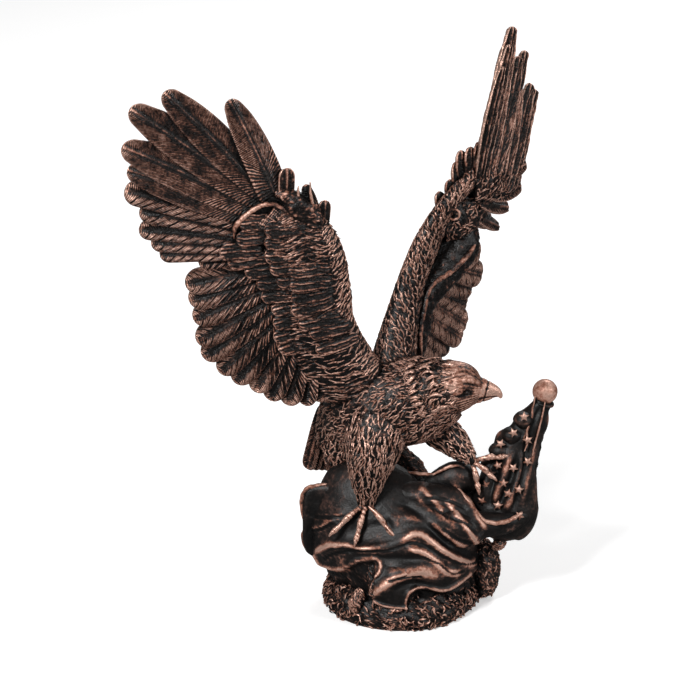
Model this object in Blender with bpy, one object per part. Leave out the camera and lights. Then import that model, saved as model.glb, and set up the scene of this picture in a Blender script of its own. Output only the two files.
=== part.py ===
"""Resin eagle sculpture: an eagle with raised wings on a draped flag and a rocky plinth.

The real object is one casting, so everything here is joined into one solid. The forms are lofts:
closed balls whose rings are laid along smooth curves. They overlap, a voxel remesh melts them
together, a decimation keeps the facets few, and a cut makes the underside flat.

Units are metres and +Z is up. X runs to the eagle's beak, -Y is the side with the flag's folds,
and the origin is at the middle of the underside.
"""
import math

import bmesh
import bpy
import numpy as np

# Driving sizes
CARVING_HEIGHT = 0.337       # from the plinth's top to the highest wing tip
PLINTH_LENGTH = 0.108        # along X
PLINTH_DEPTH = 0.104         # along Y
PLINTH_HEIGHT = 0.020        # from the underside to the level where the flag begins
STONE_WIDTH = 0.017          # across the plinth's stones
ROCK_RELIEF = 0.0022         # how far the plinth's stones stand out
FLAG_RIM = 0.0056            # rolled edge of the cloth, across
POLE_DIAMETER = 0.0115
FINIAL_DIAMETER = 0.0162
FEATHER_THICKNESS = 0.0034
SCALE_LIFT = 0.0016          # how far the short feathers stand off the body
TOE_DIAMETER = 0.0056
CLAW_LENGTH = 0.0060

# The figure's own grid: points are written in millimetres of a carving 337 high on a plinth 20
# high, so pose and proportions follow the carving's height and sit on whatever plinth there is
GRID_HEIGHT = 337.0
GRID_FLOOR = 20.0
UNIT = CARVING_HEIGHT / GRID_HEIGHT

# The grid's plinth, and how far above it the cloth still follows the plinth's outline
GRID_LENGTH = 108.0
GRID_DEPTH = 104.0
GRID_DRAPE = 75.0

# How finely the forms are melted together, and how many facets are left
MELT_STEP = 0.00128
FACETS = 9600

BRONZE = (0.060, 0.032, 0.024, 1.0)


def place(points):
    """Turn points of the figure's grid into metres in the part's frame."""
    lifted = np.asarray(points, float) - (0.0, 0.0, GRID_FLOOR)
    return lifted * UNIT + (0.0, 0.0, PLINTH_HEIGHT)


def spread(points):
    """Draw low points out or in with the plinth, so cloth and stones keep to its outline."""
    drape = GRID_DRAPE * UNIT
    low = np.clip((drape + PLINTH_HEIGHT - points[:, 2:]) / drape, 0.0, 1.0)
    wanted = np.array((PLINTH_LENGTH / GRID_LENGTH, PLINTH_DEPTH / GRID_DEPTH, UNIT)) / UNIT
    return points * (1.0 + low * (wanted - 1.0))


def spline(keys, along):
    """Read a smooth curve through the keys at shares 0 to 1 of its length."""
    keys = np.asarray(keys, float)
    last = len(keys) - 1
    at = np.clip(np.asarray(along, float), 0.0, 1.0) * last
    start = np.minimum(at.astype(int), last - 1)
    part = (at - start)[:, None]
    before = keys[np.maximum(start - 1, 0)]
    here = keys[start]
    there = keys[start + 1]
    after = keys[np.minimum(start + 2, last)]
    slope_here = (there - before) / 2
    slope_there = (after - here) / 2
    square = part * part
    cube = square * part
    return (here * (2 * cube - 3 * square + 1) + slope_here * (cube - 2 * square + part)
            + there * (3 * square - 2 * cube) + slope_there * (cube - square))


def at_share(keys, share):
    """One point of the smooth curve."""
    return spline(keys, np.array([share]))[0]


def unit_rows(rows):
    """Scale each row of an array to length one."""
    return rows / np.maximum(np.linalg.norm(rows, axis=1, keepdims=True), 1e-9)


def ball_net(sides, rings):
    """Share along the axis, angle round it and faces of a closed ball."""
    ball = bmesh.new()
    bmesh.ops.create_uvsphere(ball, u_segments=sides, v_segments=rings, radius=1.0)
    spots = np.array([vertex.co[:] for vertex in ball.verts])
    faces = [[vertex.index for vertex in face.verts] for face in ball.faces]
    ball.free()
    along = 1.0 - np.arccos(np.clip(spots[:, 2], -1.0, 1.0)) / math.pi
    angle = np.arctan2(spots[:, 1], spots[:, 0])
    return along, angle, faces


# Share of a feather's length, and its breadth there as a share of its greatest breadth
FEATHER_OUTLINE = ((0.0, 0.50), (0.22, 0.70), (0.44, 0.86), (0.64, 0.97), (0.80, 1.0), (0.91, 0.90),
                   (0.98, 0.60), (1.0, 0.25))


class Casting:
    """Collects closed forms as one mesh."""

    def __init__(self):
        self.points = []
        self.faces = []
        self.count = 0

    def add(self, points, faces, follows_plinth=True):
        self.points.append(spread(points) if follows_plinth else points)
        self.faces.extend([[index + self.count for index in face] for face in faces])
        self.count += len(points)

    def loft(self, keys, side, sides=14, rings=18, relief=None, side_unit=UNIT, across_unit=UNIT):
        """Lay rings along the keys' curve.

        A key holds x, y, z, the half size along `side` and the half size across it. The spot is
        in the figure's grid. The half sizes count in `side_unit` and `across_unit`, in metres,
        so a piece can have a size of its own. `relief(points)` moves points outward, in metres.
        """
        along, angle, faces = ball_net(sides, rings)
        keys = np.asarray(keys, float)
        row = spline(keys, along)
        ahead = unit_rows(spline(keys[:, :3], along + 0.02) - spline(keys[:, :3], along - 0.02))
        side = np.asarray(side, float)[None, :]
        sideways = unit_rows(side - (ahead @ side[0])[:, None] * ahead)
        across = np.cross(ahead, sideways)
        open_ring = (along > 1e-6) & (along < 1.0 - 1e-6)
        half_side = row[:, 3] * side_unit * open_ring
        half_across = row[:, 4] * across_unit * open_ring
        outward = unit_rows(sideways * np.cos(angle)[:, None] + across * np.sin(angle)[:, None])
        points = (place(row[:, :3]) + sideways * (half_side * np.cos(angle))[:, None]
                  + across * (half_across * np.sin(angle))[:, None])
        if relief is not None:
            points = points + outward * (relief(points) * open_ring)[:, None]
        self.add(points, faces)

    def cord(self, spots, diameter, sides=10, rings=24):
        """A round rim or pole of one diameter in metres along a curve of the figure's grid."""
        keys = [(*spot, 0.5, 0.5) for spot in spots]
        self.loft(keys, (0.13, 0.99, 0.07), sides, rings, side_unit=diameter, across_unit=diameter)

    def feather(self, root, tip, width, side, bow=0.0, thickness=FEATHER_THICKNESS, rings=12):
        """A blade from root to tip, narrow at its root and round at its end."""
        root, tip = np.asarray(root, float), np.asarray(tip, float)
        side = unit_rows(np.asarray([side], float))[0]
        keys = []
        for share, breadth in FEATHER_OUTLINE:
            spot = root + (tip - root) * share + side * bow * math.sin(share * math.pi)
            keys.append((*spot, width * breadth / 2, (1.0 - 0.45 * share) / 2))
        self.loft(keys, side, 10, rings, across_unit=thickness)


def between(first, last, share):
    """The point at a share of the way from first to last."""
    return np.asarray(first, float) * (1 - share) + np.asarray(last, float) * share


def lumps(points, size):
    """Smooth uneven stones: crossed waves of the given size in metres, from -1 to 1."""
    x, y, z = (points * (2 * math.pi / size)).T
    first = np.sin(x + 1.3 * np.sin(y * 0.7 + z)) * np.sin(y * 1.1 + 0.8 * np.sin(z * 1.3 + x * 0.6))
    second = np.sin(1.9 * x + 2.3 * z) * np.sin(2.1 * y - 1.7 * z + 1.0)
    return 0.65 * first + 0.35 * second


# Plinth and flag

def plinth(casting):
    """A low round rock with a rough rim."""
    half_length = PLINTH_LENGTH / 2
    half_depth = PLINTH_DEPTH / 2
    along, angle, faces = ball_net(48, 14)
    outline = ((-0.30, 0.93), (-0.10, 0.97), (0.10, 1.0), (0.35, 1.02), (0.60, 0.99), (0.80, 0.93),
               (1.0, 0.80), (1.12, 0.50))
    level, reach = spline(outline, along).T
    reach = reach * ((along > 1e-6) & (along < 1.0 - 1e-6))
    corner = 0.965 + 0.105 * np.cos(angle - math.radians(232))
    corner += 0.060 * np.cos(2 * (angle - math.radians(70)))
    points = np.column_stack((half_length * reach * corner * np.cos(angle),
                              half_depth * reach * corner * np.sin(angle),
                              PLINTH_HEIGHT * level))
    outward = np.column_stack((np.cos(angle), np.sin(angle), 0.3 + 0 * angle))
    rough = ROCK_RELIEF * lumps(points, STONE_WIDTH) * (level > 0.05) * (reach > 0)
    casting.add(points + outward * rough[:, None], faces, follows_plinth=False)


FLAG_LEVELS = (
    # left, right, front, back, height
    (-44, 44, -46, 42, 8),
    (-46, 44, -50, 42, 18),
    (-51, 43, -51, 40, 29),
    (-61, 42, -49, 37, 41),
    (-65, 41, -44, 34, 54),
    (-65, 36, -37, 27, 66),
    (-56, 26, -27, 18, 74),
    (-38, 14, -17, 14, 79.5),
    (-22, 4, -6, 11, 82),
)

# Ridges of the cloth in the front view: the two numbers of a spot are x and height, then follow
# how far the ridge stands out (a valley is negative) and how wide it is
FLAG_FOLDS = (
    (((0, 86), (12, 76), (20, 69), (22, 60)), 3.0, 5.0),
    (((20, 80), (30, 70), (38, 58), (42, 44)), 3.0, 5.0),
    (((-5, 62), (10, 60), (20, 51), (32, 42), (44, 38)), 3.6, 5.0),
    (((-66, 44), (-54, 50), (-40, 51), (-26, 53), (-6, 60)), 3.4, 5.0),
    (((-54, 42), (-36, 46), (-18, 47), (0, 51), (14, 47), (26, 39), (40, 35)), -3.2, 3.0),
    (((0, 50), (12, 38), (22, 26)), 2.6, 5.0),
    (((-20, 16), (-4, 28), (6, 33), (20, 32)), 2.2, 4.5),
    (((-62, 70), (-50, 66), (-40, 70)), -5.0, 10.0),
    (((-48, 62), (-38, 58), (-20, 58)), -2.5, 6.0),
)


def flag_folds(points):
    """How far the cloth's front moves out, by the distance to each fold in the front view."""
    grid = (points - (0.0, 0.0, PLINTH_HEIGHT)) / UNIT + (0.0, 0.0, GRID_FLOOR)
    front = np.clip((6.0 - grid[:, 1]) / 20.0, 0.0, 1.0)
    flat = grid[:, [0, 2]]
    out = np.zeros(len(grid))
    for line, height, width in FLAG_FOLDS:
        route = spline(line, np.linspace(0.0, 1.0, 24))
        gap = np.min(np.linalg.norm(flat[:, None, :] - route[None, :, :], axis=2), axis=1)
        out += height * np.exp(-(gap / width) ** 2) * front
    back = np.clip((grid[:, 1] - 4.0) / 20.0, 0.0, 1.0)
    out += 2.2 * np.sin(grid[:, 0] / 6.5 + grid[:, 2] / 14.0) * back
    return out * UNIT


def flag(casting):
    """The cloth over the rock, with its rolled rims, the canton by the pole and the hem."""
    keys = []
    for left, right, front, back, height in FLAG_LEVELS:
        keys.append(((left + right) / 2, (front + back) / 2, height, (right - left) / 2, (back - front) / 2))
    casting.loft(keys, (1, 0, 0), 72, 34, relief=flag_folds)
    roll = ((2, -26, 60, 12, 12), (16, -27, 58, 12, 12), (30, -26, 57, 11.5, 11.5), (44, -22, 57, 8.5, 8.5),
            (57, -18, 57, 7.5, 7.5), (68, -12, 59, 7, 7), (73, -5, 62, 6, 6))
    casting.loft(roll, (0, 0, 1), 16, 20)
    crest = ((-2, -8, 84), (12, -8, 84), (20, -10, 82), (25, -13, 79), (30, -17, 75), (35, -21, 70.5),
             (39, -24, 66.5), (44, -27, 64), (50, -28, 62.5), (56, -28, 62.5), (62, -25, 63.5), (67, -21, 63))
    casting.cord(crest, FLAG_RIM)
    side_sheet = ((-38, -14, 56, 24, 9), (-50, -13, 56, 24, 8), (-59, -11, 56, 23, 6), (-65, -9, 57, 19, 4),
                  (-67, -8, 58, 12, 2))
    casting.loft(side_sheet, (0, 0, 1), 16, 14)
    flap = ((-42, -14, 81), (-52, -12, 78), (-60, -11, 76.5), (-65, -10, 73), (-67.5, -10, 67), (-67, -10, 59),
            (-66, -10, 51), (-65.5, -10, 44), (-62.5, -13, 36.5), (-57, -18, 31.5), (-50, -26, 28))
    casting.cord(flap, FLAG_RIM)
    tongue = ((-14, -42, 36, 16, 6), (-14, -46, 26, 17, 7), (-11, -48, 17, 17, 8), (-11, -50, 9, 14, 7),
              (-11, -50, 4, 9, 6))
    casting.loft(tongue, (1, 0, 0), 16, 12)
    hem = ((-52, -32, 27), (-46, -38, 25), (-40, -42, 28), (-30, -47, 31), (-22, -50, 29), (-21, -52, 23),
           (-26, -54, 16), (-27, -55, 10), (-21, -56, 6), (-10, -57, 4), (-2, -56, 6), (1, -54, 12),
           (9, -50, 17), (22, -43, 15))
    casting.cord(hem, FLAG_RIM)
    knob = ((54, -14, 44, 3, 3), (54.5, -14, 41, 4, 4), (54, -14, 37, 3, 3))
    casting.loft(knob, (1, 0, 0), 10, 8)


def canton(casting):
    """The starred corner of the flag, gathered along the pole, with the pole's round finial."""
    keys = ((80, 5, 131, 3, 4), (79, 4, 126, 6, 6), (76.5, 3, 118, 8.5, 8), (72, 2, 109, 11.5, 8.5),
            (67, 1, 100, 14.5, 10), (63, -1, 90, 16, 11), (60.5, -3, 78, 18.5, 13), (58, -5, 66, 22, 14),
            (57, -7, 57, 21, 14), (53, -8, 51, 16, 12), (50, -8, 46, 10, 9))
    casting.loft(keys, (1, 0, 0), 24, 26)
    pole = ((82.5, 5, 134), (80.5, 4.5, 124), (78.5, 3.5, 110), (75.5, 2, 95), (73, 0, 80), (73, -3, 62))
    casting.cord(pole, POLE_DIAMETER)
    ball = FINIAL_DIAMETER / 2
    middle = np.array((83.0, 5.0, 136.0))
    along, angle, faces = ball_net(14, 10)
    round_points = np.column_stack((np.sin(along * math.pi) * np.cos(angle),
                                    np.sin(along * math.pi) * np.sin(angle), -np.cos(along * math.pi)))
    casting.add(place(middle) + round_points * ball, faces)
    lobes = (((71, 1, 121), 7.0), ((63.5, 0, 111), 7.5), ((55.5, -1, 101), 7.0), ((49, -2, 92), 6.0))
    for (x, y, z), size in lobes:
        casting.loft(((x, y, z - size, size / 2, 5), (x, y, z - 2, size, 7), (x, y, z + 2, size / 1.5, 5),
                      (x, y, z + 3, 1, 1)), (1, 0, 0), 10, 8)


def stone_relief(points):
    """Finer lumps on the standing stones."""
    return 0.8 * ROCK_RELIEF * lumps(points, STONE_WIDTH * 0.7)


def rock_behind(casting):
    """The stone and the fold of cloth that show under the eagle's chest."""
    casting.loft(((-4, 24, 62, 15, 12), (-4, 27, 71, 14, 11), (-8, 28, 81, 10, 9), (-12, 28, 89, 6, 5)),
                 (1, 0, 0), 16, 10, relief=stone_relief)
    casting.loft(((6, 14, 70, 9, 6), (16, 14, 75, 8, 6), (25, 12, 78, 6, 5), (34, 8, 76, 6, 6),
                  (44, 2, 74, 8, 8)), (0, 0, 1), 12, 12)


def rock_beside(casting):
    """The stone that rises from the plinth under the canton."""
    casting.loft(((44, -2, 6, 9, 14), (46, -3, 16, 10, 14), (46, -4, 26, 10, 12), (45, -4, 34, 7, 9),
                  (43, -4, 39, 3, 4)), (1, 0, 0), 16, 10, relief=stone_relief)


# Eagle

BODY = ((-60, 19, 93, 4, 4), (-49, 14, 106, 17, 15), (-34, 7, 121, 25, 25), (-15, -2, 131, 28, 28),
        (2, -7, 135, 25, 27), (14, -10, 140, 19, 22.5), (24, -12, 144, 15, 18), (31, -12.5, 144, 9, 12))
BODY_SIDE = (0.35, 0.94, 0.0)
NEAR_THIGH = ((-18, -4, 136, 17, 17), (-21, -15, 123, 19, 19), (-24, -22, 110, 17, 16), (-27, -26, 98, 13, 13),
              (-28, -28, 88, 9.5, 9), (-28.5, -28.5, 80, 6, 6), (-28.5, -28.5, 72, 4, 4))
FAR_THIGH = ((2, 6, 124, 11, 11), (14, 1, 114, 11, 11.5), (24, -4, 108, 9.5, 10), (31, -8, 102, 6.5, 7),
             (35.5, -11, 99, 4.2, 4.2), (37, -12.5, 94, 3, 3))


def head(casting):
    """Skull, brow and the hooked beak."""
    skull = ((10, -11, 145, 8, 9), (19, -12, 146, 13.5, 15.5), (28, -12.5, 145.5, 14, 16.5),
             (35, -13, 145, 11.5, 14), (41, -13.5, 143.5, 7.5, 8.5), (44, -13.8, 142.5, 4, 5))
    casting.loft(skull, (0.1, 1, 0), 16, 14)
    beak = ((37, -13.5, 143, 5, 7), (43, -14, 142.5, 5, 7.6), (48, -14.3, 142.2, 3.8, 6.2),
            (52, -14.5, 140.7, 2.6, 4), (54.4, -14.6, 138, 1.5, 2), (54.8, -14.6, 136, 0.6, 0.6))
    casting.loft(beak, (0, 1, 0), 12, 12)
    for cheek in (-1, 1):
        middle = -13 + cheek * 9
        brow = ((26, middle + cheek, 153, 1.5, 1.5), (33, middle + cheek * 1.5, 155, 3, 2.2),
                (40, middle - cheek, 152.5, 2.6, 2.2), (43, middle - cheek * 4, 150, 1, 1))
        casting.loft(brow, (0, 1, 0), 8, 8)


def toes(casting, ankle, ends):
    """Toes that spread from the ankle over the cloth, each with a hooked claw."""
    ankle = np.asarray(ankle, float)
    claw = CLAW_LENGTH / UNIT
    for end in ends:
        end = np.asarray(end, float)
        away = (end - ankle) / np.linalg.norm(end - ankle)
        knuckle = between(ankle, end, 0.5) + (0.0, -1.0, 2.2)
        last = end - away * claw
        spots = (ankle, between(ankle, knuckle, 0.5) + (0, -0.4, 0.8), knuckle, last, last + away * claw * 0.6,
                 end + (0, 1.0, -1.2))
        shares = (0.62, 0.5, 0.52, 0.46, 0.32, 0.1)
        keys = [(*spot, share, share) for spot, share in zip(spots, shares)]
        casting.loft(keys, (0.2, 0, 1), 8, 16, side_unit=TOE_DIAMETER, across_unit=TOE_DIAMETER)


def short_feathers(casting, keys, side, rows, first, last, length, width, toward_root):
    """Rows of short overlapping feathers all round a loft."""
    keys = np.asarray(keys, float)
    side = np.asarray(side, float)
    flow = -1.0 if toward_root else 1.0
    for row in range(rows):
        share = first + (last - first) * row / max(rows - 1, 1)
        x, y, z, half_side, half_across = at_share(keys, share)
        ends = spline(keys[:, :3], np.array([share - 0.03, share + 0.03]))
        ahead = (ends[1] - ends[0]) / np.linalg.norm(ends[1] - ends[0])
        sideways = side - ahead * (side @ ahead)
        sideways = sideways / np.linalg.norm(sideways)
        across = np.cross(ahead, sideways)
        round_about = math.pi * (half_side + half_across)
        count = max(5, int(round_about / (width * 0.95)))
        for step in range(count):
            angle = 2 * math.pi * (step + 0.5 * (row % 2)) / count
            out = sideways * math.cos(angle) * half_side + across * math.sin(angle) * half_across
            spot = np.array((x, y, z)) + out * 0.98
            out = out / max(np.linalg.norm(out), 1e-6)
            lift = SCALE_LIFT / UNIT
            root = spot - ahead * flow * length * 0.4 - out * lift
            tip = spot + ahead * flow * length * 0.6 + out * lift
            casting.feather(root, tip, width, np.cross(ahead, out), thickness=SCALE_LIFT * 1.6, rings=8)


def body(casting):
    """Body, head, legs and tail, with the hackles in rows."""
    casting.loft(BODY, BODY_SIDE, 24, 22)
    short_feathers(casting, BODY, BODY_SIDE, 9, 0.16, 0.86, 12.0, 9.0, True)
    head(casting)
    casting.loft(NEAR_THIGH, (1, 0, 0), 16, 16)
    short_feathers(casting, NEAR_THIGH, (1, 0, 0), 5, 0.25, 0.78, 11.0, 7.5, False)
    casting.loft(FAR_THIGH, (0, 1, 0), 12, 12)
    short_feathers(casting, FAR_THIGH, (0, 1, 0), 3, 0.3, 0.7, 9.0, 7.0, False)
    toes(casting, (-28.5, -29, 75), ((-52, -39, 57), (-36, -45, 53), (-11, -42, 57), (-30, -14, 76)))
    toes(casting, (37.5, -12, 96), ((61, -10, 99), (53, -17, 85), (42, -20, 77)))
    tail(casting)


def tail(casting):
    """A short fan of stiff tail feathers, down and away behind the near leg."""
    for step in range(7):
        share = step / 6
        tip = at_share(((-68, 22, 92), (-69, 27, 81), (-61, 31, 76), (-51, 30, 76)), share)
        root = between((-44, 10, 112), (-36, 16, 104), share)
        casting.feather(root, tip, 13.0, (0.55, -0.5, 0.6), thickness=FEATHER_THICKNESS * 1.2)


# Wings: the arm as a loft, the curves that the feathers start from, and where each feather ends

UP = (0.0, 0.1, 1.0)
NEAR_SIDE = (0.97, 0.24, 0.0)
NEAR_ARM = ((-30, -6, 146, 20, 13), (-45, -14, 158, 25, 12), (-58, -21, 186, 25, 9), (-62, -23, 206, 26, 8),
            (-67, -25, 227, 27, 7), (-73, -27, 247, 28, 6), (-79, -28, 262, 25, 5), (-79, -27, 273, 16, 3.5),
            (-77, -26, 279, 6, 2.5))
NEAR_PRIMARY_ROOTS = ((-82, -25, 262), (-92, -26, 256), (-96, -27, 244), (-92, -27, 234))
NEAR_PRIMARY_TIPS = ((-110, -30, 336), (-149, -38, 345), (-170, -45, 336), (-176, -50, 314), (-172, -50, 299),
                     (-176, -50, 286), (-166, -46, 271), (-166, -46, 260), (-160, -44, 251), (-156, -42, 242))
NEAR_SECONDARY_ROOTS = ((-80, -26, 232), (-76, -25, 205), (-66, -22, 184), (-50, -18, 166))
NEAR_SECONDARY_TIPS = ((-139, -38, 224), (-138, -37, 212), (-136, -36, 199), (-134, -36, 184),
                       (-129, -35, 173), (-119, -34, 162), (-110, -32, 154), (-98, -29, 147),
                       (-88, -27, 141), (-77, -25, 137), (-66, -23, 136), (-56, -21, 138))
NEAR_COVERT_ROOTS = ((-86, -31, 258), (-80, -31, 232), (-72, -29, 206), (-52, -24, 172))
NEAR_COVERT_TIPS = ((-124, -38, 262), (-128, -39, 248), (-122, -38, 236), (-112, -36, 222), (-106, -34, 205),
                    (-100, -33, 190), (-92, -31, 176), (-80, -29, 164), (-66, -26, 156))
NEAR_THUMB = (((-77, -25, 262), (-77, -27, 295)), ((-70, -24, 255), (-65, -22, 278)),
              ((-63, -22, 249), (-55.5, -20, 265)), ((-88, -26, 264), (-92, -28, 290)))

FAR_SIDE = (0.50, 0.86, 0.0)
FAR_ARM = ((-13, 6, 148, 16, 14), (-8, 15, 170, 15, 10), (-1, 24, 200, 12, 6.5), (8.5, 31, 220, 12, 6),
           (16.5, 37, 237, 12, 5.5), (26, 43, 251, 11.5, 5), (36, 49, 264, 10, 4.5), (43, 55, 275, 7, 3.5))
FAR_PRIMARY_ROOTS = ((40, 50, 268), (38, 56, 262), (30, 56, 250), (20, 52, 236))
FAR_PRIMARY_TIPS = ((54, 55, 333), (57, 62, 345), (62, 72, 354), (71, 90, 335), (79, 105, 312), (82, 115, 290),
                    (80, 118, 273), (74, 118, 260), (74, 116, 248), (71, 112, 237), (63, 106, 224))
FAR_SECONDARY_ROOTS = ((20, 52, 236), (8, 42, 215), (-2, 34, 192), (-8, 26, 168))
FAR_SECONDARY_TIPS = ((54, 103, 210), (46, 98, 200), (49, 100, 186), (41, 96, 177), (38, 92, 169),
                      (37, 88, 153), (33, 82, 146), (24, 74, 142), (21, 68, 138))
FAR_RIM = ((4, 30, 166), (6, 42, 178), (10, 52, 190), (20, 62, 196), (32, 74, 204), (44, 86, 216))
FAR_THUMB = (((22, 44, 252), (28, 45, 273)), ((26, 46, 256), (31, 46, 281)), ((32, 48, 260), (37, 47, 283)),
             ((37, 50, 264), (42, 49, 285)))


def feather_row(casting, roots, tips, widths, side, bow=0.0, rings=14):
    """Feathers from a curve of roots to a list of tips; the widths follow a curve along the row."""
    last = len(tips) - 1
    for step, tip in enumerate(tips):
        width = at_share([(width,) for width in widths], step / last)[0]
        casting.feather(at_share(roots, step / last), tip, width, side, bow, rings=rings)


def near_wing(casting):
    """The wing on the side of the folds, spread flat toward -X."""
    casting.loft(NEAR_ARM, NEAR_SIDE, 26, 26)
    feather_row(casting, NEAR_PRIMARY_ROOTS, NEAR_PRIMARY_TIPS, (18, 18.5, 14, 14), UP, bow=1.5, rings=16)
    feather_row(casting, NEAR_SECONDARY_ROOTS, NEAR_SECONDARY_TIPS, (17, 17), UP)
    feather_row(casting, NEAR_COVERT_ROOTS, NEAR_COVERT_TIPS, (15, 15), UP, rings=10)
    for root, tip in NEAR_THUMB:
        casting.feather(root, tip, 10.0, NEAR_SIDE, rings=10)
    short_feathers(casting, NEAR_ARM, NEAR_SIDE, 11, 0.16, 0.88, 13.0, 10.0, False)


def far_wing(casting):
    """The other wing, seen almost edge-on and swept away toward +Y."""
    casting.loft(FAR_ARM, FAR_SIDE, 22, 22)
    feather_row(casting, FAR_PRIMARY_ROOTS, FAR_PRIMARY_TIPS, (8, 14, 16, 15), (0.75, 0.45, -0.45), rings=16)
    feather_row(casting, FAR_SECONDARY_ROOTS, FAR_SECONDARY_TIPS, (16, 16), (0.2, 0.4, 0.9))
    casting.cord(FAR_RIM, FEATHER_THICKNESS * 1.6)
    for root, tip in FAR_THUMB:
        casting.feather(root, tip, 9.0, FAR_SIDE, rings=8)
    short_feathers(casting, FAR_ARM, FAR_SIDE, 12, 0.14, 0.92, 12.0, 9.0, False)


def bronze_material():
    """Dark antique bronze colour on resin."""
    material = bpy.data.materials.new("antique_bronze_resin")
    material.use_nodes = True
    shader = material.node_tree.nodes["Principled BSDF"]
    shader.inputs["Base Color"].default_value = BRONZE
    shader.inputs["Roughness"].default_value = 0.34
    shader.inputs["Metallic"].default_value = 0.6
    return material


def add_object(name, mesh):
    """Link a new object into the scene."""
    thing = bpy.data.objects.new(name, mesh)
    bpy.context.scene.collection.objects.link(thing)
    return thing


def ground_cutter():
    """A block below the underside's plane."""
    reach = PLINTH_LENGTH + PLINTH_DEPTH
    block = bmesh.new()
    bmesh.ops.create_cube(block, size=1.0)
    bmesh.ops.scale(block, vec=(reach, reach, reach / 4), verts=list(block.verts))
    bmesh.ops.translate(block, vec=(0, 0, -reach / 8), verts=list(block.verts))
    mesh = bpy.data.meshes.new("ground_cutter")
    block.to_mesh(mesh)
    block.free()
    cutter = add_object("ground_cutter", mesh)
    cutter.hide_render = True
    cutter.display_type = "WIRE"
    return cutter


def eagle_sculpture():
    """Everything joined into one casting with a flat underside."""
    casting = Casting()
    plinth(casting)
    flag(casting)
    canton(casting)
    rock_behind(casting)
    rock_beside(casting)
    body(casting)
    near_wing(casting)
    far_wing(casting)
    mesh = bpy.data.meshes.new("eagle_sculpture")
    mesh.from_pydata(np.concatenate(casting.points).tolist(), [], casting.faces)
    mesh.materials.append(bronze_material())
    eagle = add_object("eagle_sculpture", mesh)
    melt = eagle.modifiers.new("melt", "REMESH")
    melt.mode = "VOXEL"
    melt.voxel_size = MELT_STEP
    bpy.context.view_layer.update()
    graph = bpy.context.evaluated_depsgraph_get()
    fine = eagle.evaluated_get(graph).data
    triangles = sum(len(face.vertices) - 2 for face in fine.polygons)
    thin = eagle.modifiers.new("thin", "DECIMATE")
    thin.ratio = FACETS / triangles
    cut = eagle.modifiers.new("underside", "BOOLEAN")
    cut.operation = "DIFFERENCE"
    cut.object = ground_cutter()
    return eagle


def main():
    for thing in list(bpy.data.objects):
        bpy.data.objects.remove(thing, do_unlink=True)
    eagle_sculpture()


main()
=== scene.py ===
# %% [markdown]
# # A cast resin eagle on a draped flag
#
# The real object is one resin casting, painted almost black and then brushed with copper colour,
# so that every raised line catches it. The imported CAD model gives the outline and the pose. This
# notebook lays the carving over the same curves: barbs on the flight feathers, hackles on the body,
# folds and sewn stripes on the flag, stars on its corner and curls on the rock.

# %% Tools and the fixed frame
import math

import bmesh
import bpy
import numpy as np
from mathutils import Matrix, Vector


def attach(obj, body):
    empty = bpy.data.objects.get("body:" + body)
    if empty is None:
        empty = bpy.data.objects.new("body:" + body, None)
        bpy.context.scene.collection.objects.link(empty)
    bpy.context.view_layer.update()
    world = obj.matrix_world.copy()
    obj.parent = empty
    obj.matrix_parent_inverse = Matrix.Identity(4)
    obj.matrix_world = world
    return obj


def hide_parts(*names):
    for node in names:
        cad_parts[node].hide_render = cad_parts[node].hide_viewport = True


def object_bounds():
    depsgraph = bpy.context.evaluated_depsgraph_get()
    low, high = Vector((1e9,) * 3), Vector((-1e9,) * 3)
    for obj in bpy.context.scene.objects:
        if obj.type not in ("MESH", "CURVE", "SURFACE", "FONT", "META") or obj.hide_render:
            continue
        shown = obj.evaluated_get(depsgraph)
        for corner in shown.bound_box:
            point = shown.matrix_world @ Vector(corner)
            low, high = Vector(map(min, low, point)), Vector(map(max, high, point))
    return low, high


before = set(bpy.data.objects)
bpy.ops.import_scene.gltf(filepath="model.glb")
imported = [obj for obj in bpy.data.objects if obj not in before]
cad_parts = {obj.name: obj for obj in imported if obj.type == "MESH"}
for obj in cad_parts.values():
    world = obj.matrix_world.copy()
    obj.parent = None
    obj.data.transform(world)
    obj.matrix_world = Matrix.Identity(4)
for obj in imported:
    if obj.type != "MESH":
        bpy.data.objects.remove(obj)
cad_low, cad_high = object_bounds()
MM = 0.001
chance = np.random.default_rng(11)
print("CAD box", [round(v, 4) for v in (*cad_low, *cad_high)])

# %% [markdown]
# Everything is written in millimetres, in the CAD model's own frame: +X runs to the beak, -Y is the side with
# the folds and +Z is up. A form is a few listed stations, and a smooth curve is read through them. The same
# reading serves for places, widths and depths.

# %% Smooth curves through stations
def spline(keys, along):
    """Read a smooth curve through the keys at shares 0 to 1."""
    keys = np.asarray(keys, float)
    last = len(keys) - 1
    at = np.clip(np.asarray(along, float), 0.0, 1.0) * last
    start = np.minimum(at.astype(int), last - 1)
    part = (at - start)[:, None]
    before, here = keys[np.maximum(start - 1, 0)], keys[start]
    there, after = keys[start + 1], keys[np.minimum(start + 2, last)]
    slope_here, slope_there = (there - before) / 2, (after - here) / 2
    square, cube = part ** 2, part ** 3
    return (here * (2 * cube - 3 * square + 1) + slope_here * (cube - 2 * square + part)
            + there * (3 * square - 2 * cube) + slope_there * (cube - square))


def at_share(keys, share):
    return spline(keys, np.array([share]))[0]


def unit_rows(rows):
    return rows / np.maximum(np.linalg.norm(rows, axis=-1, keepdims=True), 1e-9)


def smooth_step(low, high, value):
    part = np.clip((value - low) / (high - low), 0.0, 1.0)
    return part * part * (3 - 2 * part)


def bell(value, width):
    return np.exp(-(value / width) ** 2)


# %% [markdown]
# Each form starts as a closed ball from `create_uvsphere`. A point of the ball has a share along
# the axis and an angle round it, and a formula says where that point goes. The ball's mesh is
# stamped into the piece again and again, so the operator makes all the faces, and no form is open.

# %% Balls to stamp
balls = {}


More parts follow.
